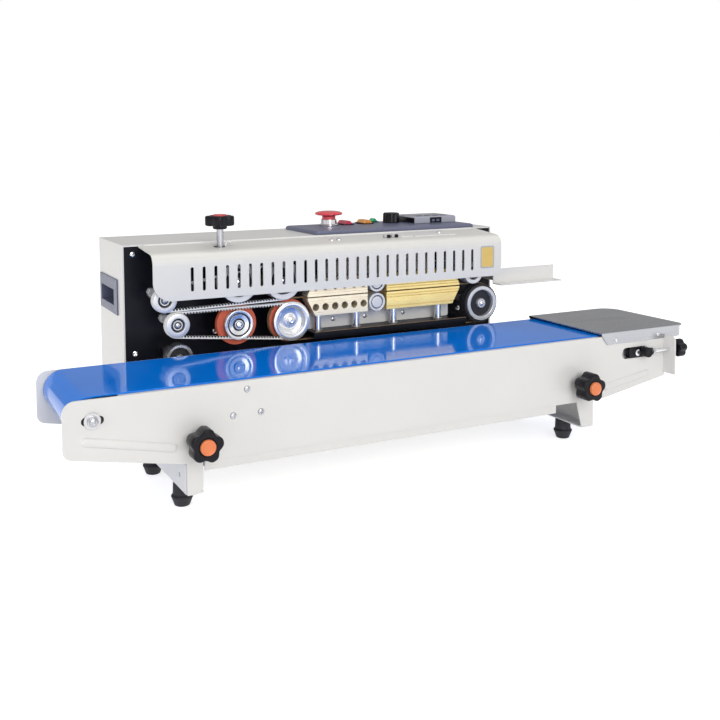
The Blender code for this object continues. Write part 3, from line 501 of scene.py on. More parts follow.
def along(line, count, fractions):
    """Samples a closed line at the same fractions of each of its equal parts."""
    closed, reach = reaches(line)
    spots = []
    i = 0
    for part in range(count):
        for share in fractions:
            s = reach[-1] * (part + share) / count
            while reach[i + 1] < s:
                i += 1
            t = (s - reach[i]) / max(1e-9, reach[i + 1] - reach[i])
            p, a = closed[i]
            q, b = closed[i + 1]
            spots.append((p.lerp(q, t), a.lerp(b, t).normalized()))
    return spots


def belt(name, circles, thick, y0, y1, mat, body, pitch=0, edge=0):
    """An endless belt, with teeth on its inner side where a pitch is given."""
    line = loop_line(circles)
    if pitch > 0:
        teeth = round(reaches(line)[1][-1] / pitch)
        spots = along(line, teeth, (0.02, 0.14, 0.4, 0.52))
        depths = [TOOTH_ROOT, 0, 0, TOOTH_ROOT] * teeth
    else:
        spots = line
        depths = [0] * len(line)
    outline = [(depths, y0), ([thick - edge] * len(spots), y0)]
    if edge > 0:
        outline += [([thick] * len(spots), y0 + edge), ([thick] * len(spots), y1 - edge)]
    outline += [([thick - edge] * len(spots), y1), (depths, y1)]
    rings = []
    for offsets, y in outline:
        ring = []
        for (p, out), offset in zip(spots, offsets):
            q = p + out * offset
            ring.append(spot(q.x, y, q.y))
        rings.append(ring)
    ob = loft(name, rings, mat, closed=True)
    # The flanks and roots between the teeth take the painted shade; only the tooth tips keep the belt's
    # own white.
    if pitch > 0:
        ob.data.materials.append(BELT_ROOT_SHADE)
        inner = ob.data.polygons[-len(spots):]
        for k, face in enumerate(inner):
            face.material_index = 0 if k % 4 == 1 else 1
    put(ob, body, name)


STAR_LOBES, STAR_POINTS, STAR_DIP = 5, 80, 0.2


def star_knob(name, body, node, axis, at, h0, h1, r, turn):
    """A knob with five lobes, whose front face runs in to a round rim."""
    d = 1 if h1 > h0 else -1
    end = abs(h1 - h0)
    steps = [(0.86, 0, 0), (0.93, 0.4, 0), (0.985, 1.2, 0), (1, 2.2, 0), (1, end - 2.6, 0),
             (0.985, end - 1.2, 0), (0.955, end - 0.4, 0), (0.91, end, 0), (0.8, end - 0.1, 0.2),
             (0.65, end - 0.1, 0.9), (0.55, end, 1), (0.51, end - 0.8, 1), (0.51, end - 1.6, 1)]
    rings = []
    for scale, h, ease in steps:
        ring = []
        for k in range(STAR_POINTS):
            ang = 2 * pi * k / STAR_POINTS
            dip = STAR_DIP * (0.5 - 0.5 * cos(STAR_LOBES * ang)) ** 1.5
            reach = r * (1 - dip * (1 - ease)) * scale
            way = ang + radians(turn)
            ring.append(place(axis, at[0] + reach * cos(way), at[1] + reach * sin(way), h0 + d * h))
        rings.append(ring)
    put(loft(name, rings, PLASTIC, order(axis, *at, h0), axis), body, node)


# Conveyor

CONV_L = 800
CONV_W = 148
CONV_TOP = 143
CONV_LOW = 62
END_LOW = 84
BED_TOP = 142.2
HEAD_X, HEAD_Z = 29.6, 121.1
TAIL_X, TAIL_Z = 751, 117.3
ROLLER_R = 21
KNOB_LX, KNOB_RX, KNOB_Z = 140, 652, 86.6


def bead(name, a, b, r, face, side):
    """A pressed rib with round ends, standing proud of a plate."""
    ax, az = a
    bx, bz = b
    way = atan2(bz - az, bx - ax)
    rings = []
    for share, height in ((1, -0.2), (0.95, 0.6), (0.84, 1.6), (0.62, 2.3), (0.35, 2.6)):
        ring = []
        for cx, cz, start in ((bx, bz, way - pi / 2), (ax, az, way + pi / 2)):
            for k in range(13):
                ang = start + pi * k / 12
                reach = r * share
                ring.append(spot(cx + reach * cos(ang), face + side * height, cz + reach * sin(ang)))
        rings.append(ring)
    return loft(name, rings, CREAM)


def side_plate(node, y0, y1, flange_y, out):
    corners = [(0, END_LOW + 1), (126, CONV_LOW), (CONV_L - 105, CONV_LOW), (CONV_L, END_LOW - 3.5),
               (CONV_L, CONV_TOP), (0, CONV_TOP)]
    outline = rounded(corners, [10, 14, 14, 0, 0, 13], 10)
    holes = [rect(HEAD_X - 11, HEAD_X + 12, HEAD_Z - 4.4, HEAD_Z + 4.4, 4.3),
             rect(725, 771, TAIL_Z - 7.4, TAIL_Z + 7.4, 7.2)]
    for x in (KNOB_LX, KNOB_RX):
        holes.append(rect(x - 4.6, x + 4.6, KNOB_Z - 18.8, KNOB_Z + 4.8, 4.5))
    side = plate(node + "_pressed", "Y", [outline] + holes, y0, y1, CREAM)
    ys = sorted((flange_y, y1 if out < 0 else y0))
    corner_r = [0, 0, 7, 0] if out > 0 else [0, 0, 0, 7]
    ends = rounded([(ys[0], END_LOW + 1.5), (ys[1], END_LOW + 1.5), (ys[1], CONV_TOP - 6),
                    (ys[0], CONV_TOP - 6)], corner_r, 10)
    flange = plate(node + "_flange", "X", [ends], CONV_L - PLATE_T, CONV_L, CREAM)
    carve(side, flange, "UNION")
    put(side, "conveyor", node, soft=0.7)
    face = y0 if out < 0 else y1
    for label, a, b in (("left", (22.5, 100.2), (112.5, 81.6)), ("right", (699, 76.4), (767, 87.4))):
        put(bead(node + "_rib_" + label, a, b, 5, face, out), "conveyor")


def conveyor():
    side_plate("conveyor_front_plate", 0, PLATE_T, -20.5, -1)
    side_plate("conveyor_back_plate", CONV_W - PLATE_T, CONV_W, CONV_W + 20.5, 1)
    dress("slider_bed", CREAM, 0.5)
    dress("lower_pan", CREAM, 0.7)
    circles = [(HEAD_X, HEAD_Z, ROLLER_R + RUN), (TAIL_X, TAIL_Z, ROLLER_R + RUN),
               (718, BED_TOP - 0.2, 0.5), (60, BED_TOP - 0.2, 0.5)]
    belt("conveyor_belt", circles, 1.5, 9, 143.6, BLUE, "conveyor", edge=0.35)
    ends = [(0, -6), (4.4, -6), (5.5, -5.2), (5.6, -2), (8.6, -1.9), (8.6, -0.4), (4, -0.4), (4, 5),
            (20.2, 5), (ROLLER_R, 5.8), (ROLLER_R, 142.2), (20.2, 143), (4, 143), (4, 152), (0, 152)]
    lathe("head_roller", "Y", (HEAD_X, HEAD_Z), ends, ZINC, 64, "head_roller_turning", 0.25)
    screw("head_axle_screw", HEAD_X, -5.4, HEAD_Z, 4.3, "head_roller_turning", mat=STEEL, kind="socket")
    bore = 4.35
    tube = [(bore, 5), (20.2, 5), (ROLLER_R, 5.8), (ROLLER_R, 142.2), (20.2, 143), (bore, 143)]
    lathe("tail_roller", "Y", (TAIL_X, TAIL_Z), tube, ZINC, 64, "tail_roller_turning", 0.25)
    axle = bar("tail_axle_bar", "Y", (TAIL_X - 1.5, TAIL_Z), 4.3, -5, CONV_W + 5, CHROME, "conveyor", 1.2,
               "steel")
    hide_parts("tail_axle")
    for label, y, d in (("front", 0, -1), ("back", CONV_W, 1)):
        ys = sorted((y + d * 1.8, y - d * 4.4))
        line = rect(TAIL_X - 15, TAIL_X + 14, TAIL_Z - 6.9, TAIL_Z + 6.9, 3)
        slab("conveyor", 0.6, "tension_block_" + label, "Y", line, *ys, PLASTIC)
        boss = [(0, -2), (6.6, -2), (6.6, 12.6), (6, 13.6), (4.2, 13.8), (4, 13), (0, 13)]
        turned("tension_boss_" + label, "Y", (TAIL_X + 9, TAIL_Z + 0.8), lifted(boss, y, d), PLASTIC, 40,
               "conveyor", (), 0.3)
        ys = sorted((y - d * 2.3, y - d * 3))
        slab("conveyor", 0, "axle_slot_back_" + label, "Y", circle(HEAD_X, HEAD_Z, 15, 32), *ys, RUBBER)
    for label, y in (("front", -10), ("back", CONV_W + 10)):
        z = TAIL_Z + 1.5
        node = "tension_knob_" + label
        body = "tension_" + label
        end = CONV_L + 20.5
        star_knob(node + "_star", body, node, "X", (y, z), CONV_L + 8, end, 12.2, 20)
        bar(node + "_face", "X", (y, z), 6.3, end - 3, end - 0.4, PLASTIC, body, 0.6)
        bar(node + "_neck", "X", (y, z), 5.4, CONV_L + 4, CONV_L + 9, PLASTIC, body)
        bar(node + "_rod", "X", (y, z), 2.7, TAIL_X + 9, CONV_L + 8, CHROME, body, 0.4)
        for k, x in enumerate((TAIL_X + 16, CONV_L + 0.3)):
            slab(body, 0.4, node + "_nut_%d" % k, "X", circle(y, z, 5.4, 6), x, x + 3.6, ZINC)


def end_cover():
    x0, x1 = 688.5, 838
    top = CONV_TOP + 4.7
    y0 = -1.8
    y1 = CONV_W + 1.8
    corners = [(x0, y0), (x1, y0), (x1, y1), (x0, y1)]
    cover = prism("end_cover_sheet", "Z", rounded(corners, [0.4, 15, 24, 0.4], 14), top - 1.5, top, STEEL)
    low = top - 15.2
    t = 1.5
    edge = open_round(corners, [0, 24, 30, 0], 12)
    inner = open_round([(x0, y0 + t), (x1 - t, y0 + t), (x1 - t, y1 - t), (x0, y1 - t)],
                       [0, 22.5, 28.5, 0], 12)
    carve(cover, prism("lip", "Z", edge + inner[::-1], low, top - 0.5, None), "UNION")
    wedge = [(x0 - 2, low - 2), (x0 + 9.2, low - 2), (x0 + 9.2, low + 0.6), (x0 + 7.6, low + 2.4),
             (x0, top - 2.4), (x0 - 2, top - 2.4)]
    carve(cover, prism("lip_slant", "Y", wedge, y0 - 3, y1 + 3, None))
    put(cover, "conveyor", "end_plate", soft=0.45)
    for k, (x, z) in enumerate(((713, 137.6), (786, 138.6))):
        screw("cover_screw_front_%d" % k, x, y0 - 0.1, z, 2.7, "conveyor", spin=30 + 50 * k)
        screw("cover_screw_back_%d" % k, x, y1 + 0.1, z, 2.7, "conveyor", "back", spin=15 + 40 * k)


def plate_screws():
    for k, (x, z) in enumerate(((179.5, 106.6), (195.6, 133.8), (211.4, 107.1))):
        screw("conveyor_screw_%d" % k, x, 0.1, z, 3.7, "conveyor", mat=STEEL, spin=15 + 35 * k)


# Base and feet

BEAM_LOW, BEAM_HIGH, UPRIGHT = 26.5, 59.7, 118


def beam(side, x, d):
    """A channel across the base, with a front tab and a rear one that carry the conveyor."""
    t = PLATE_T
    inner = x + d * t
    end = x + d * 20
    section = [(x, BEAM_LOW), (end, BEAM_LOW), (end, BEAM_LOW + t), (inner, BEAM_LOW + t),
               (inner, BEAM_HIGH - t), (end, BEAM_HIGH - t), (end, BEAM_HIGH), (x, BEAM_HIGH)]
    radii = [1.6, 0, 0, 0.6, 0.6, 0, 0, 1.6]
    channel = prism("beam_channel_" + side, "Y", rounded(section, radii, 4), 5.6, 340, CREAM)
    holes = [circle(y, 43, 2.6, 24) for y in (26, 200, 300)]
    carve(channel, many("beam_holes", "X", holes, x - 4, x + 4))
    put(channel, "frame", "base_beam_" + side, soft=0.4)
    kx = KNOB_LX if d > 0 else KNOB_RX
    stud = circle(kx, KNOB_Z, 4.6, 24)
    if d > 0:
        tab = rounded([(x + 1.2, BEAM_LOW), (x + 19, BEAM_LOW), (x + 19, UPRIGHT), (x + 1.2, UPRIGHT)],
                      [0.8, 9, 3, 3], 8)
    else:
        tab = rounded([(x - 18.5, BEAM_LOW), (x, BEAM_LOW), (x, UPRIGHT), (x - 37.5, UPRIGHT),
                       (x - 37.5, 100)], [1.5, 2.5, 3, 3, 3], 8)
    put(plate("beam_tab_" + side, "Y", [tab, stud], 2.5, 4.5, CREAM), "frame", soft=0.4)
    gusset = sorted((x + d * 0.2, x + d * 2))
    web = [(4.3, CONV_LOW + 4), (6, CONV_LOW + 4), (6, UPRIGHT - 20), (4.3, UPRIGHT - 20)]
    slab("frame", 0.3, "beam_fold_" + side, "X", web, gusset[0], gusset[1], CREAM)
    ux = sorted((x, end))
    rear = rect(ux[0], ux[1], BEAM_HIGH - 1, UPRIGHT, 2)
    put(plate("beam_rear_tab_" + side, "Y", [rear], CONV_W + 0.5, CONV_W + 2.5, CREAM), "frame", soft=0.4)


def base():
    for side, x, d in (("left", 127, 1), ("right", 679, -1)):
        beam(side, x, d)
        for label, y in zip(("front", "middle", "rear"), (50, 165, 318)):
            node = "foot_%s_%s" % (label, side)
            foot = [(0, 0), (7.6, 0), (8.6, 0.6), (11.4, 8.2), (12.3, 10), (12, 11.4), (10.4, 13),
                    (10, 24.8), (9.4, 26.2), (0, 26.2)]
            lathe(node, "Z", (x + d * 10, y), foot, RUBBER, 48, "frame", 0.4)
        at = (KNOB_LX if d > 0 else KNOB_RX, KNOB_Z)
        body = "clamp_" + side
        star_knob("clamp_star_" + side, body, "clamp_knob_" + side, "Y", at, -11, -31, 18.3, 11)
        bar("clamp_neck_" + side, "Y", at, 9, -13, -2.8, PLASTIC, body)
        bar("clamp_stud_" + side, "Y", at, 4, -4, 11, ZINC, body)
        bar("clamp_floor_" + side, "Y", at, 9.6, -30.6, -24, PLASTIC, body, 0.2)
        cap = [(0, -30), (8.3, -30), (8.3, -33), (8, -33.9), (7.1, -34.4), (6.2, -34.1), (5.6, -33.6),
               (0, -33.7)]
        turned("clamp_cap_disc_" + side, "Y", at, cap, CAP, 56, body, ("clamp_cap_" + side,), 0.2)


# Housing

def housing():
    dress("housing", CREAM, 0.9, 3)
    dress("front_panel", BLACK, 0.5)
    dress("tray", CREAM, 0.5)
    dress("carry_handle", GREY, 0.5)
    gland = [(0, 338), (8, 338), (8, 344.3), (11.2, 344.3), (12, 345), (12, 347.6), (11, 348.3), (9, 350),
             (8.4, 353.4), (7.6, 354), (4.4, 354), (4, 353.4), (4, 343), (0, 343)]
    lathe("cable_gland", "Y", (630, 92), gland, PLASTIC, 48, "frame", 0.3)
    for k, (x, z) in enumerate(((132, 260.3), (132.9, 135.4), (238.4, 154.5), (614, 154.5))):
        screw("panel_screw_%d" % k, x, 222.9, z, 3.6, "frame", spin=10 + 40 * k)
    for k, (x, z) in enumerate(((462.8, 159.3), (568.3, 159.3))):
        screw("ledge_bolt_%d" % k, x, 222.9, z, 4.6, "frame", kind="socket")
    for k, (x, z) in enumerate(((135, 100), (135, 240), (656, 240), (656, 130), (395, 262), (395, 72))):
        screw("back_screw_%d" % k, x, 344.1, z, 3.4, "frame", "back", spin=25 * k)


GUARD_X0, GUARD_X1, SLOT_W = 138.5, 643, 4
PRESS_X, PRESS_Y = 235.5, 190


def guard():
    gy = 154.7
    hinge_y, hinge_z = 220.4, 269.2
    t = 1.5
    outer = [(hinge_y - 1.4, hinge_z + 1.3), (gy + 12, hinge_z - 2.8), (gy + 6.5, hinge_z - 4.6),
             (gy + 2.6, hinge_z - 8.2), (gy + 0.6, hinge_z - 12.6), (gy, hinge_z - 17), (gy, 209)]
    radii = [0, 12, 9, 9, 9, 12, 0]
    fine = open_round(outer, radii, 5)
    section = fine + offset(fine, t)
    cover = prism("guard_sheet", "X", section, GUARD_X0, GUARD_X1, CREAM_WARMED_FOR_BOUNCE,
                  (GUARD_X0, hinge_y, hinge_z))
    half = SLOT_W / 2
    slots = [rect(x - half, x + half, 219, 248.5, half - 0.05,
                  6) for x in [187 + 15.05 * k for k in range(28)]]
    slots += [waste(GUARD_X0, 209, 1, 23), waste(GUARD_X1, 209, -1, 16)]
    carve(cover, many("slots", "Y", slots, gy - 4, gy + 5))
    notch = rect(PRESS_X - 9.5, PRESS_X + 6.5, PRESS_Y - 8.5, PRESS_Y + 8.5, 6.6, 8)
    carve(cover, prism("notch", "Z", notch, 250, 290, None))
    put(cover, "guard_cover", "guard", soft=0.3)
    guard_fittings()
    slab("guard_cover", 0.1, "notice_plate_edge", "Y", rect(607, 630, 220.5, 252, 2.4), gy - 0.35,
         gy + 0.2, LABEL_EDGE)
    slab("guard_cover", 0.1, "notice_plate_field", "Y", rect(609, 628, 222.5, 250, 1.6), gy - 0.5,
         gy - 0.2, LABEL)


def guard_fittings():
    """Hinge leaf, catch, screws and a wire clip on top of the guard."""
    def top(y):
        return 270.5 - (219 - y) * 0.0784
    leaf = [(y, top(y) + h) for y, h in ((216, -0.2), (216, 0.9), (182, 0.9), (182, -0.2))]
    slab("guard_cover", 0.3, "hinge_leaf", "X", leaf, 517, 583, CREAM)
    pad = [(y, top(y) + h) for y, h in ((212, -0.2), (212, 1.2), (184, 1.2), (184, -0.2))]
    slab("guard_cover", 0.4, "hinge_pad", "X", pad, 496, 515, CREAM)
    for k, x in enumerate((468, 474, 480, 486)):
        mat = PLASTIC if k % 2 else ZINC
        bar("catch_ring_%d" % k, "X", (184, top(184) + 1.8), 2.6, x, x + 4.2, mat, "guard_cover",
            slot="black_plastic")
    for k, (x, y, r) in enumerate(((391, 188, 3.4), (401.5, 188, 3.4), (565, 197, 3.6))):
        screw("guard_screw_%d" % k, x, y, top(y) + (0.9 if x > 500 else 0), r, "guard_cover", "Z",
              spin=25 * k)
    wire("guard_clip", [(241.5, 186, 267), (241.8, 186, 272), (243.6, 186, 274.4), (246.4, 186.2, 274),
                        (247.6, 186.6, 271), (249.4, 187, 269.4), (253, 187.4, 269.2)], 0.8, CHROME,
         "guard_cover")


def wire(name, points, r, mat, body):
    """A bent round wire through points."""
    path = [spot(*p) for p in points]
    rings = []
    for i, p in enumerate(path):
        way = (path[min(i + 1, len(path) - 1)] - path[max(i - 1, 0)]).normalized()
        side = way.cross(Vector((0, 1, 0))).normalized()
        up = way.cross(side)
        rings.append([p + (side * u + up * v) / 1000 for u, v in circle(0, 0, r, 10)])
    put(loft(name, rings, mat), body)


def open_round(points, radii, steps):
    """An open line with its inner corners rounded."""
    out = [points[0]]
    for i in range(1, len(points) - 1):
        p = Vector(points[i])
        a = Vector(points[i - 1]) - p
        b = Vector(points[i + 1]) - p
        half = a.angle(b) / 2
        reach = min(radii[i] / tan(half), a.length * 0.48, b.length * 0.48)
        first = p + a.normalized() * reach
        last = p + b.normalized() * reach
        for k in range(steps + 1):
            t = k / steps
            q = first * (1 - t) ** 2 + p * 2 * t * (1 - t) + last * t ** 2
            out.append((q.x, q.y))
    return out + [points[-1]]


def offset(points, t):
    """The same open line moved to its left by t, in reverse order."""
    left = []
    for i in range(len(points)):
        before = Vector(points[max(0, i - 1)])
        after = Vector(points[min(len(points) - 1, i + 1)])
        way = (after - before).normalized()
        left.append((points[i][0] - way.y * t, points[i][1] + way.x * t))
    return left[::-1]


def waste(u, v, du, r):
    """What a round lower corner at (u, v) leaves off, for a part that lies towards du and up."""
    arc = []
    for k in range(13):
        ang = pi / 2 * k / 12
        arc.append((u + du * (r - r * sin(ang)), v + r - r * cos(ang)))
    return [(u - du * 4, v - 4), (u + du * r, v - 4)] + arc + [(u - du * 4, v + r)]


# Sealing mechanism

SEAL_Z = 197.6
LOW_FACE, TOP_FACE = SEAL_Z - 0.75, SEAL_Z + 0.75
FRONT = 164
HUB_R, SHAFT_END = 5, 69.4
TYRE_SEAT = [(17, 9.1), (17, 18.6)]
PINCH_R = 12.4
HUBS = {"left_lower": (171.3, 177.1), "left_upper": (155.6, 208.5), "emboss_lower": (250.3, 171),
        "emboss_upper": (250.5, 224.5), "drive_lower": (322.2, 169.7), "drive_upper": (311, 222.2),
        "pinch_lower": (447, LOW_FACE - PINCH_R), "pinch_upper": (447, TOP_FACE + PINCH_R),
        "end_lower": (616.7, 169.4), "end_upper": (602, 213.6), "conveyor_drive": (173.1, 136.6)}


def band_radius(body):
    """The radius at which a wheel meets the sealing band."""
    z = HUBS[body][1]
    return LOW_FACE - z if z < SEAL_Z else z - TOP_FACE


def wheel(node, body, face, mat, soft, seg=72):
    """A wheel on its shaft; its heights count back from the common front."""
    profile = face + [(HUB_R, face[-1][1]), (HUB_R, SHAFT_END), (0, SHAFT_END)]
    lathe(node, "Y", HUBS[body], lifted(profile, FRONT), mat, seg, body, soft)


def ring(name, body, r0, r1, h0, h1, soft=0.15):
    """A dark ring in a wheel's face, or a rubber one round it."""
    profile = [(r0, h0), (r1, h0), (r1, h1), (r0, h1)]
    turned(name, "Y", HUBS[body], lifted(profile, FRONT), RUBBER, 56, body, (), soft)


def hub_screw(name, body, h, r, **kind):
    x, z = HUBS[body]
    screw(name, x, FRONT + h, z, r, body, **kind)


def left_pulleys():
    for side, inner in (("lower", 12.6), ("upper", 11.4)):
        node = "left_pulley_" + side
        body = "left_" + side
        face = [(0, 2.4), (4.4, 2.4), (4.6, 1.4), (6, 1.4), (6.2, 4.4), (8.3, 4.4), (8.6, 0.5), (9.2, 0),
                (13.9, 0), (14.6, 0.3), (15, 0.9), (15, 1.5), (inner, 1.6), (inner, 9), (15, 9.1),
                (15, 10.7)]
        wheel(node, body, face, TURNED, 0.15, 64)
        ring(node + "_recess", body, 6.2, 8.3, 3.6, 4.6)
        ring(node + "_groove", body, 3.5, 4.5, 2, 2.6)
        hub_screw(node + "_screw", body, 1.8, 3.3, mat=ZINC, spin=25)


def emboss_wheels():
    """The embossing wheel over and under the bands, after both wheels' rubber tyres."""
    for kind, r in (("emboss", 26.4), ("drive", 27.15)):
        body = kind + "_lower"
        tyre = [(17.4, 9.4), (r - 1, 9.4), (r, 10.2), (r, 17.2), (r - 1, 18), (17.4, 18)]
        lathe(kind + "_tyre", "Y", HUBS[body], lifted(tyre, FRONT), ORANGE, 72, body, 0.2)
    face = [(0, 2.2), (4.2, 2.2), (4.4, 0.8), (5.8, 0.8), (6, 4.4), (7.8, 4.4), (8, 2), (13, 1.2),
            (13.2, 3.6), (14.7, 3.6), (14.9, 0.6), (15.6, 0.2), (16.2, 0), (18.2, 0), (18.8, 0.5),
            (18.8, 1.6), (15, 1.6), (15, 9.1)]
    wheel("emboss_wheel_lower", "emboss_lower", face + TYRE_SEAT, TURNED_CHROME, 0.18)
    for label, r0, r1, h in (("inner", 6, 7.8, 3.8), ("outer", 13.2, 14.7, 3)):
        ring("emboss_lower_groove_" + label, "emboss_lower", r0, r1, h, h + 0.8)
    hub_screw("emboss_lower_screw", "emboss_lower", 1.6, 3.7, spin=40)
    r = 25.5
    face = [(0, 0.6), (5, 0.6), (5.4, 2.6), (17.6, 2.6), (18, 0.4), (18.6, 0), (r - 0.6, 0), (r, 0.5),
            (r, 1.5), (r - 1.2, 1.8), (r - 1.2, 17.6), (r - 1.6, 18)]
    wheel("emboss_wheel_upper", "emboss_upper", face, TURNED, 0.2)
    ring("emboss_upper_recess", "emboss_upper", 5.6, 17.4, 2.2, 2.8)
    hub_screw("emboss_upper_screw", "emboss_upper", 0.6, 3.6)


def drive_wheels():
    cup = [(0, 3), (5.4, 3), (5.6, 5), (7.6, 5.2), (7.8, 7.6), (13, 7.8), (16.2, 6.6), (17.8, 4),
           (18.6, 1.2), (19.2, 0.3), (20.2, 0), (24.4, 0), (25.1, 0.4), (25.4, 1), (25.4, 1.6),
           (20.5, 1.7), (20.5, 9.1)]
    wheel("drive_wheel_lower", "drive_lower", cup + TYRE_SEAT, TURNED_CHROME, 0.2, 80)
    hub_screw("drive_lower_bolt", "drive_lower", 3, 4.8, kind="socket")
    r = 24.2
    band_r = band_radius("drive_upper")
    face = [(0, 0.6), (4.6, 0.6), (5, 4), (16.6, 4), (17, 0.4), (17.6, 0), (r - 0.5, 0), (r, 0.5),
            (r, 1.5), (r - 2.6, 1.6), (r - 2.6, 9), (band_r, 9.1), (band_r, 18)]
    wheel("drive_wheel_upper", "drive_upper", face, TURNED, 0.2)
    ring("drive_upper_recess", "drive_upper", 5.2, 16.4, 3.4, 4.2)
    hub_screw("drive_upper_screw", "drive_upper", 0.6, 3.4)


def right_wheels():
    """The pinch rollers and the two wheels at the bands' right end."""
    r = PINCH_R
    for side in ("lower", "upper"):
        node = "pinch_roller_" + side
        body = "pinch_" + side
        face = [(0, 0.2), (7.4, 0.4), (7.8, 0.8), (8, 2.4), (8.8, 2.4), (9, 0.4), (9.6, 0), (r - 0.5, 0),
                (r, 0.5), (r, 17.5), (r - 0.5, 18)]
        wheel(node, body, face, TURNED, 0.15, 56)
        ring(node + "_groove", body, 8, 8.8, 1.9, 2.5)
    face = [(0, 0.8), (6, 0.8), (6.5, 1.4), (6.8, 6), (18.4, 6), (19, 0.6), (19.8, 0), (23.6, 0),
            (24.2, 0.5), (24.2, 2.6), (20, 2.8), (20, 4), (20, 18)]
    wheel("end_wheel_lower", "end_lower", face, TURNED, 0.2)
    ring("end_lower_recess", "end_lower", 7, 18.2, 5.2, 6.2)
    hub_screw("end_lower_screw", "end_lower", 0.8, 4, spin=30)
    r = band_radius("end_lower")
    ribbed("end_wheel_drum", "end_lower", r, 0.9, 44, 20.3, 3, 9.6, RUBBER)
    ring("end_wheel_rear_drum", "end_lower", 20.3, r, 9.8, 18, 0.4)
    r = band_radius("end_upper")
    face = [(0, 0.6), (4, 0.6), (4.4, 4), (9, 4), (9.4, 0.4), (10, 0), (r - 0.5, 0), (r, 0.5), (r, 17.5),
            (r - 0.5, 18)]
    wheel("end_wheel_upper", "end_upper", face, TURNED, 0.18, 64)
    ring("end_upper_recess", "end_upper", 4.6, 8.9, 3.4, 4.2)


def conveyor_drive():
    face = [(0, 1.6), (4.6, 1.6), (5, 6.6), (12.6, 6.6), (13, 0.7), (13.6, 0.2), (15.2, 0.2), (15.4, 0.4),
            (15.4, 17.6), (15, 18)]
    wheel("conveyor_drive_wheel", "conveyor_drive", face, ZINC, 0.2, 64)
    ribbed("conveyor_drive_teeth", "conveyor_drive", 17, 1.3, 42, 15.2, 0.2, 17.8, ZINC)
    ring("conveyor_drive_recess", "conveyor_drive", 4.9, 12.8, 5, 6.7)
    hub_screw("conveyor_drive_screw", "conveyor_drive", 1.6, 3.2)
    for k, (x, z) in enumerate(((148.6, 215), (163, 181.2))):
        bar("adjuster_shank_%d" % k, "Y", (x, z), 2.4, 203, 223.2, PLASTIC, "frame", slot="steel")
        head = prism("adjuster_head_%d" % k, "Y", circle(x, z, 5.6, 6), 194, 204, TURNED)
        put(head, "frame", soft=0.5, slot="steel")


def ribbed(name, body, r, cut, ribs, bore, h0, h1, mat):
    """A ring with ribs across its tread."""
    at = HUBS[body]
    line = []
    for k in range(ribs * 4):
        ang = 2 * pi * k / (ribs * 4)
        reach = r if k % 4 in (0, 1) else r - cut
        line.append((at[0] + reach * cos(ang), at[1] + reach * sin(ang)))
    tread = plate(name, "Y", [line, circle(*at, bore, 56)], FRONT + h0, FRONT + h1, mat)
    put(tread, body, soft=0.15)


def belts():
    """Toothed belts in front, and the sealing bands behind them."""
    for side, r0, r1 in (("lower", 12.6, 20.5), ("upper", 11.4, 21.6)):
        circles = [(*HUBS["left_" + side], r0 + RUN), (*HUBS["drive_" + side], r1 + RUN)]
        belt("toothed_belt_" + side, circles, 3.2, 165.9, 172.6, BELT, "frame", 3.9)
    for side in ("lower", "upper"):
        circles = [(*HUBS[kind + side], band_radius(kind + side) + RUN) for kind in ("drive_", "end_")]
        belt("sealing_band_" + side, circles, 0.4, 174.4, 181.4, BAND, "frame")


def mirrored(points):
    return [(u, 2 * SEAL_Z - v) for u, v in reversed(points)]


def blocks():
    front, back = FRONT + 1, 183
    z1 = LOW_FACE
    z0 = z1 - 23.8
    holes = [circle(356.5 + 14.05 * k, z0 + 11.2, 4.7, 36) for k in range(6)]
    copper = [(356, z0), (433, z0), (433, z1), (345, z1), (345, z1 - 3)]
    gold = [(462, z0), (567.5, z0), (579, z1 - 3), (579, z1), (462, z1)]
    for kind, mat, line, bores in (("cooling", COPPER, copper, holes), ("heating", GOLD, gold, [])):
        grooves = [4.6, 8] if bores else [4.6, 8, 20.4]
        for side, up in (("lower", -1), ("upper", 1)):
            node = kind + "_block_" + side
            outlines = [line] + bores
            if up > 0:
                outlines = [mirrored(points) for points in outlines]
            body = plate(node + "_milled", "Y", outlines, front, back, mat)
            heights = [SEAL_Z + up * h for h in grooves]
            lines = [rect(300, 640, z - 0.45, z + 0.45) for z in heights]
            carve(body, many("grooves", "Y", lines, front - 3, front + 1))
            put(body, "frame", node, soft=0.35)


def ledge():
    z = 152
    shelf = rounded([(160, z - 8), (162, z - 8), (162, z - 2), (222.7, z - 2), (222.7, z), (160, z)],
                    [0.3, 0.3, 0.8, 0, 0, 1.6], 5)
    put(prism("spring_ledge_shelf", "X", shelf, 352, 587, BLACK), "frame", "spring_ledge", soft=0.3)
    for k, x in enumerate((363, 419.5, 476.5, 548)):
        post = [(0, -0.5), (5.8, -0.5), (6.2, 0), (6.2, 1.6), (5.4, 2.2), (4.5, 2.4), (4.5, 20.4),
                (0, 20.4)]
        turned("block_post_%d" % k, "Z", (x, 173), lifted(post, z), CHROME, 40, "frame", (), 0.15)
    sheet = plate("carrier_sheet", "Y", [rect(352, 574, z + 0.2, z + 20, 3)], 187, 188.5, CREAM)
    put(sheet, "frame", soft=0.3)
    for k, x in enumerate((392, 440, 500, 560)):
        screw("carrier_screw_%d" % k, x, 187.1, z + 11, 3.2, "frame", mat=ZINC, spin=20 * k)
    # A thin strip along the ledge's front edge, painted as the highlight that this edge catches.
    slab("frame", 0.1, "ledge_highlight_strip", "X", rect(159.6, 161.4, z + 0.02, z + 1.2, 0.4, 3), 352.4, 586.6,
         LEDGE_HIGHLIGHT)


# Top of the housing

DECK = 277.3
DIAL_RIBS = 18


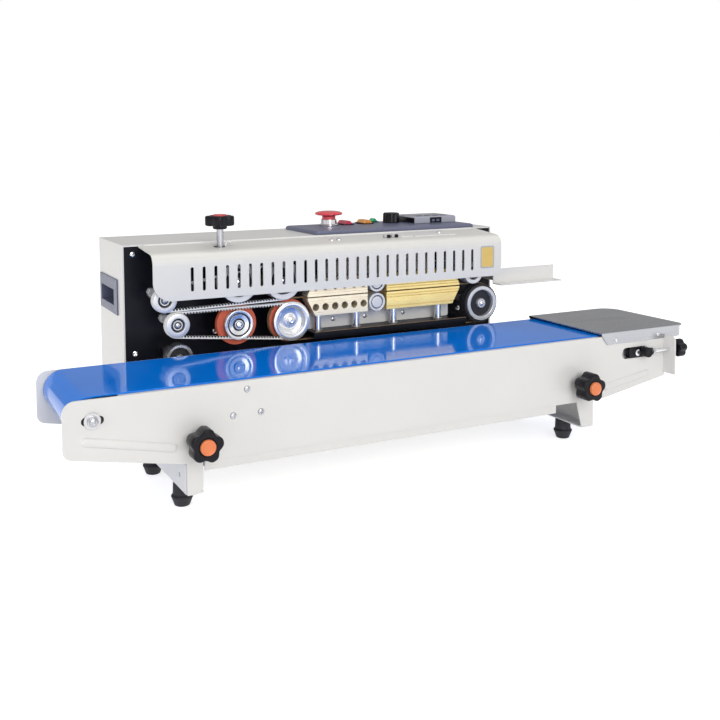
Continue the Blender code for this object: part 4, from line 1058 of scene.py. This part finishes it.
def top():
    z = DECK
    dress("control_plate", GREY, 0.6)
    at = (444, 304)
    collar = [(0, 0.3), (14.4, 0.3), (14.4, 1.6), (13.8, 2.2), (12, 2.6), (11.6, 8.6), (11.2, 9),
              (10.5, 9), (10.5, 3), (0, 3)]
    lathe("stop_collar", "Z", at, lifted(collar, z), CHROME, 56, "frame", 0.2)
    button = [(0, 7.4), (9.9, 7.4), (9.9, 13.2), (11.4, 14.2), (17.4, 15.2), (19.2, 15.6), (20.1, 16.3),
              (20.2, 17.4), (19.2, 18.9), (16, 20.1), (11.6, 20.9), (6, 21.3), (0, 21.4)]
    turned("stop_button_moulded", "Z", at, lifted(button, z), RED, 72, "stop_push", ("stop_button",), 0.3)
    base_z = z - 0.6
    for colour, x, w, y0, y1, mat in (("red", 472.5, 13, 296, 320, PINK),
                                      ("amber", 505, 13.5, 296, 320, AMBER),
                                      ("green", 528.4, 9.4, 318.5, 329, GREEN)):
        node = "rocker_" + colour
        h = w / 2
        line = rounded([(x - h, base_z), (x + h, base_z), (x + h, z + 2.2), (x + h - 3.4, z + 5.8),
                        (x - h + 3.4, z + 5.8), (x - h, z + 2.2)], [0, 0, 0.8, 1, 1, 0.8], 4)
        rocker = prism(node + "_moulded", "Y", line, y0, y1, mat, (x, (y0 + y1) / 2, base_z + 1))
        put(rocker, "switch_" + colour, node, soft=0.6)
        rim = plate(node + "_frame", "Z", [rect(x - h - 2.2, x + h + 2.2, y0 - 2.2, y1 + 2.2, 1.5),
                                           rect(x - h - 0.6, x + h + 0.6, y0 - 0.6, y1 + 0.6, 0.5)],
                    z + 0.02, z + 1.3, PLASTIC)
        put(rim, "frame", soft=0.4)
    rings = []
    for r, h, cut in ((12.6, 0.5, 0), (12.8, 1.2, 0.7), (12.6, 1.8, 0.9), (12.2, 13, 0.9),
                      (11.8, 14.2, 0.5), (10.8, 14.9, 0), (9.6, 15, 0)):
        ring_line = []
        for k in range(2 * DIAL_RIBS):
            reach = r - cut * (k // 2 % 2)
            ang = pi * k / DIAL_RIBS
            ring_line.append(spot(546.5 + reach * cos(ang), 300 + reach * sin(ang), z + h))
        rings.append(ring_line)
    dial = loft("speed_dial_knurled", rings, PLASTIC, (546.5, 300, z))
    put(dial, "dial", "speed_dial", soft=0.15)
    bar("speed_dial_insert", "Z", (546.5, 300), 8.2, z + 14.4, z + 14.95, ZINC, "dial", 0.2)
    slab("dial", 0, "speed_dial_mark", "Z", rect(546.1, 546.9, 292.4, 299, 0.3, 4), z + 14.7, z + 15, RED)
    controller(z + 0.3)
    pressure()


def controller(z):
    rings = []
    for inset, h in ((0, 0), (0, 8), (0.4, 8.7), (1.6, 9.8)):
        line = rect(566 + inset, 638 - inset, 263 + inset, 323 - inset, 2)
        rings.append([spot(u, v, z + h) for u, v in line])
    put(loft("controller_case", rings, PALE_GREY), "frame", "controller", soft=0.3)
    slab("frame", 0.2, "controller_window", "Z", rect(572, 632, 286, 317, 1.5), z + 9.6, z + 10.1, GLASS)
    for k in range(4):
        x = 575 + 14 * k
        slab("frame", 0.4, "controller_key_%d" % k, "Z", rect(x, x + 9, 270, 277, 1.5), z + 9.6, z + 10.5,
             GREY)
    slab("frame", 0.3, "controller_socket", "Y", rect(592, 612, z + 0.4, z + 8.2, 0.5), 262.4, 263.5,
         PLASTIC)
    for k, x in enumerate((595, 603)):
        slab("frame", 0.2, "controller_pins_%d" % k, "Y", rect(x, x + 5, z + 2.2, z + 5.4, 0.6), 262.1,
             262.9, GREY)
    slab("frame", 0.3, "controller_cheek", "X", rect(265, 321, z + 0.4, z + 8, 1), 565.4, 566.4, PLASTIC)


def pressure():
    at = (PRESS_X, PRESS_Y)
    body = "pressure_screw"
    star_knob("pressure_star", body, "pressure_knob", "Z", at, 294.2, 306.9, 18.8, 30)
    bar("pressure_floor", "Z", at, 9.8, 300, 306.4, PLASTIC, body, 0.2)
    cap = [(0, 306), (8.9, 306), (8.9, 307.4), (8.4, 308.1), (7.6, 308.5), (6.6, 308.2), (0, 308)]
    turned("pressure_cap", "Z", at, cap, CAP_RED, 56, body, (), 0.2)
    bar("pressure_stem", "Z", at, 4.3, 236, 292, STEEL, body, 0.4, "chrome")
    bar("pressure_hub", "Z", at, 9, 290, 294.8, PLASTIC, body, 1.2)


# Stage, lamps and camera

def bigger(tree, first, second):
    node = add(tree, "Math", {}, {0: first, 1: second})
    node.operation = "MAXIMUM"
    return node.outputs[0]


def shown(tree, plain, bright):
    """The bright shader for the camera and reflections, the plain one for other rays."""
    path = add(tree, "LightPath", {}, {})
    share = bigger(tree, path.outputs["Is Camera Ray"], path.outputs["Is Glossy Ray"])
    return add(tree, "MixShader", {}, {0: share, 1: plain, 2: bright}).outputs[0]


def stage():
    bm = bmesh.new()
    bmesh.ops.create_grid(bm, x_segments=1, y_segments=1, size=9)
    mesh = bpy.data.meshes.new("floor")
    bm.to_mesh(mesh)
    bm.free()
    floor = added("floor", mesh)
    floor.location = (0, 0, -0.0002)
    mat, tree, skin = shader("pale_floor", (0.8, 0.8, 0.8), 0.8, 0, 0)
    raised(tree, skin, noise(tree, stretched(tree), 300), 0.02, 0.05)
    glow = add(tree, "Emission", {"Strength": 0.7}, {})
    none = add(tree, "Emission", {"Strength": 0}, {})
    pick = shown(tree, none.outputs[0], glow.outputs[0])
    total = add(tree, "AddShader", {}, {0: pick, 1: skin.outputs[0]})
    tree.links.new(total.outputs[0], tree.nodes["Material Output"].inputs["Surface"])
    mesh.materials.append(mat)


def lamps():
    world = bpy.data.worlds.new("studio")
    SCENE.world = world
    world.use_nodes = True
    tree = world.node_tree
    back = tree.nodes["Background"]
    back.inputs["Color"].default_value = (1, 0.995, 0.98, 1)
    back.inputs["Strength"].default_value = 0.46
    coords = add(tree, "TexCoord", {}, {})
    split = add(tree, "SeparateXYZ", {}, {0: coords.outputs["Generated"]})
    path = add(tree, "LightPath", {}, {})
    fade = spread(tree, split.outputs["Y"], 0.84, 0.4, -0.1, 0.55)
    strength = bigger(tree, path.outputs["Is Camera Ray"], fade)
    seen = add(tree, "Background", {"Color": (1, 1, 1, 1)}, {"Strength": strength})
    pick = shown(tree, back.outputs[0], seen.outputs[0])
    tree.links.new(pick, tree.nodes["World Output"].inputs["Surface"])
    for name, where, size, power in (("key", (-0.4, -3.9, 1.7), 2.8, 77),
                                     ("left", (-3, -0.6, 0.6), 2.4, 27),
                                     ("overhead", (0.2, 0.3, 2.6), 2.4, 13)):
        data = bpy.data.lights.new(name, "AREA")
        data.shape = "DISK"
        data.size = size
        data.energy = power
        lamp = added(name, data)
        lamp.visible_glossy = name != "left"
        lamp.location = where
        aim = Vector((0, 0, 0.12)) - Vector(where)
        lamp.rotation_euler = aim.to_track_quat("-Z", "Y").to_euler()


CAM_YAW, CAM_PITCH, CAM_ROLL = radians(26.53), radians(4.22), radians(-0.29)
CAM_AT = (-176.81, -957.11, 397.36)
CAM_LENS = 48.35
CAM_SHIFT = (0.0361, -0.2027)


def camera():
    ahead = Vector((sin(CAM_YAW) * cos(CAM_PITCH), cos(CAM_YAW) * cos(CAM_PITCH), -sin(CAM_PITCH)))
    right = Vector((cos(CAM_YAW), -sin(CAM_YAW), 0))
    up = right.cross(ahead)
    side = right * cos(CAM_ROLL) + up * sin(CAM_ROLL)
    head = up * cos(CAM_ROLL) - right * sin(CAM_ROLL)
    data = bpy.data.cameras.new("camera")
    data.lens = CAM_LENS
    data.shift_x, data.shift_y = CAM_SHIFT
    cam = added("camera", data)
    turn = Matrix((side, head, -ahead)).transposed()
    cam.matrix_world = Matrix.Translation(spot(*CAM_AT)) @ turn.to_4x4()
    SCENE.camera = cam


camera()
conveyor()
end_cover()
plate_screws()
base()
housing()
guard()
left_pulleys()
emboss_wheels()
drive_wheels()
right_wheels()
conveyor_drive()
belts()
blocks()
ledge()
top()
stage()
lamps()
SCENE.view_settings.view_transform = "Standard"

bpy.context.view_layer.update()
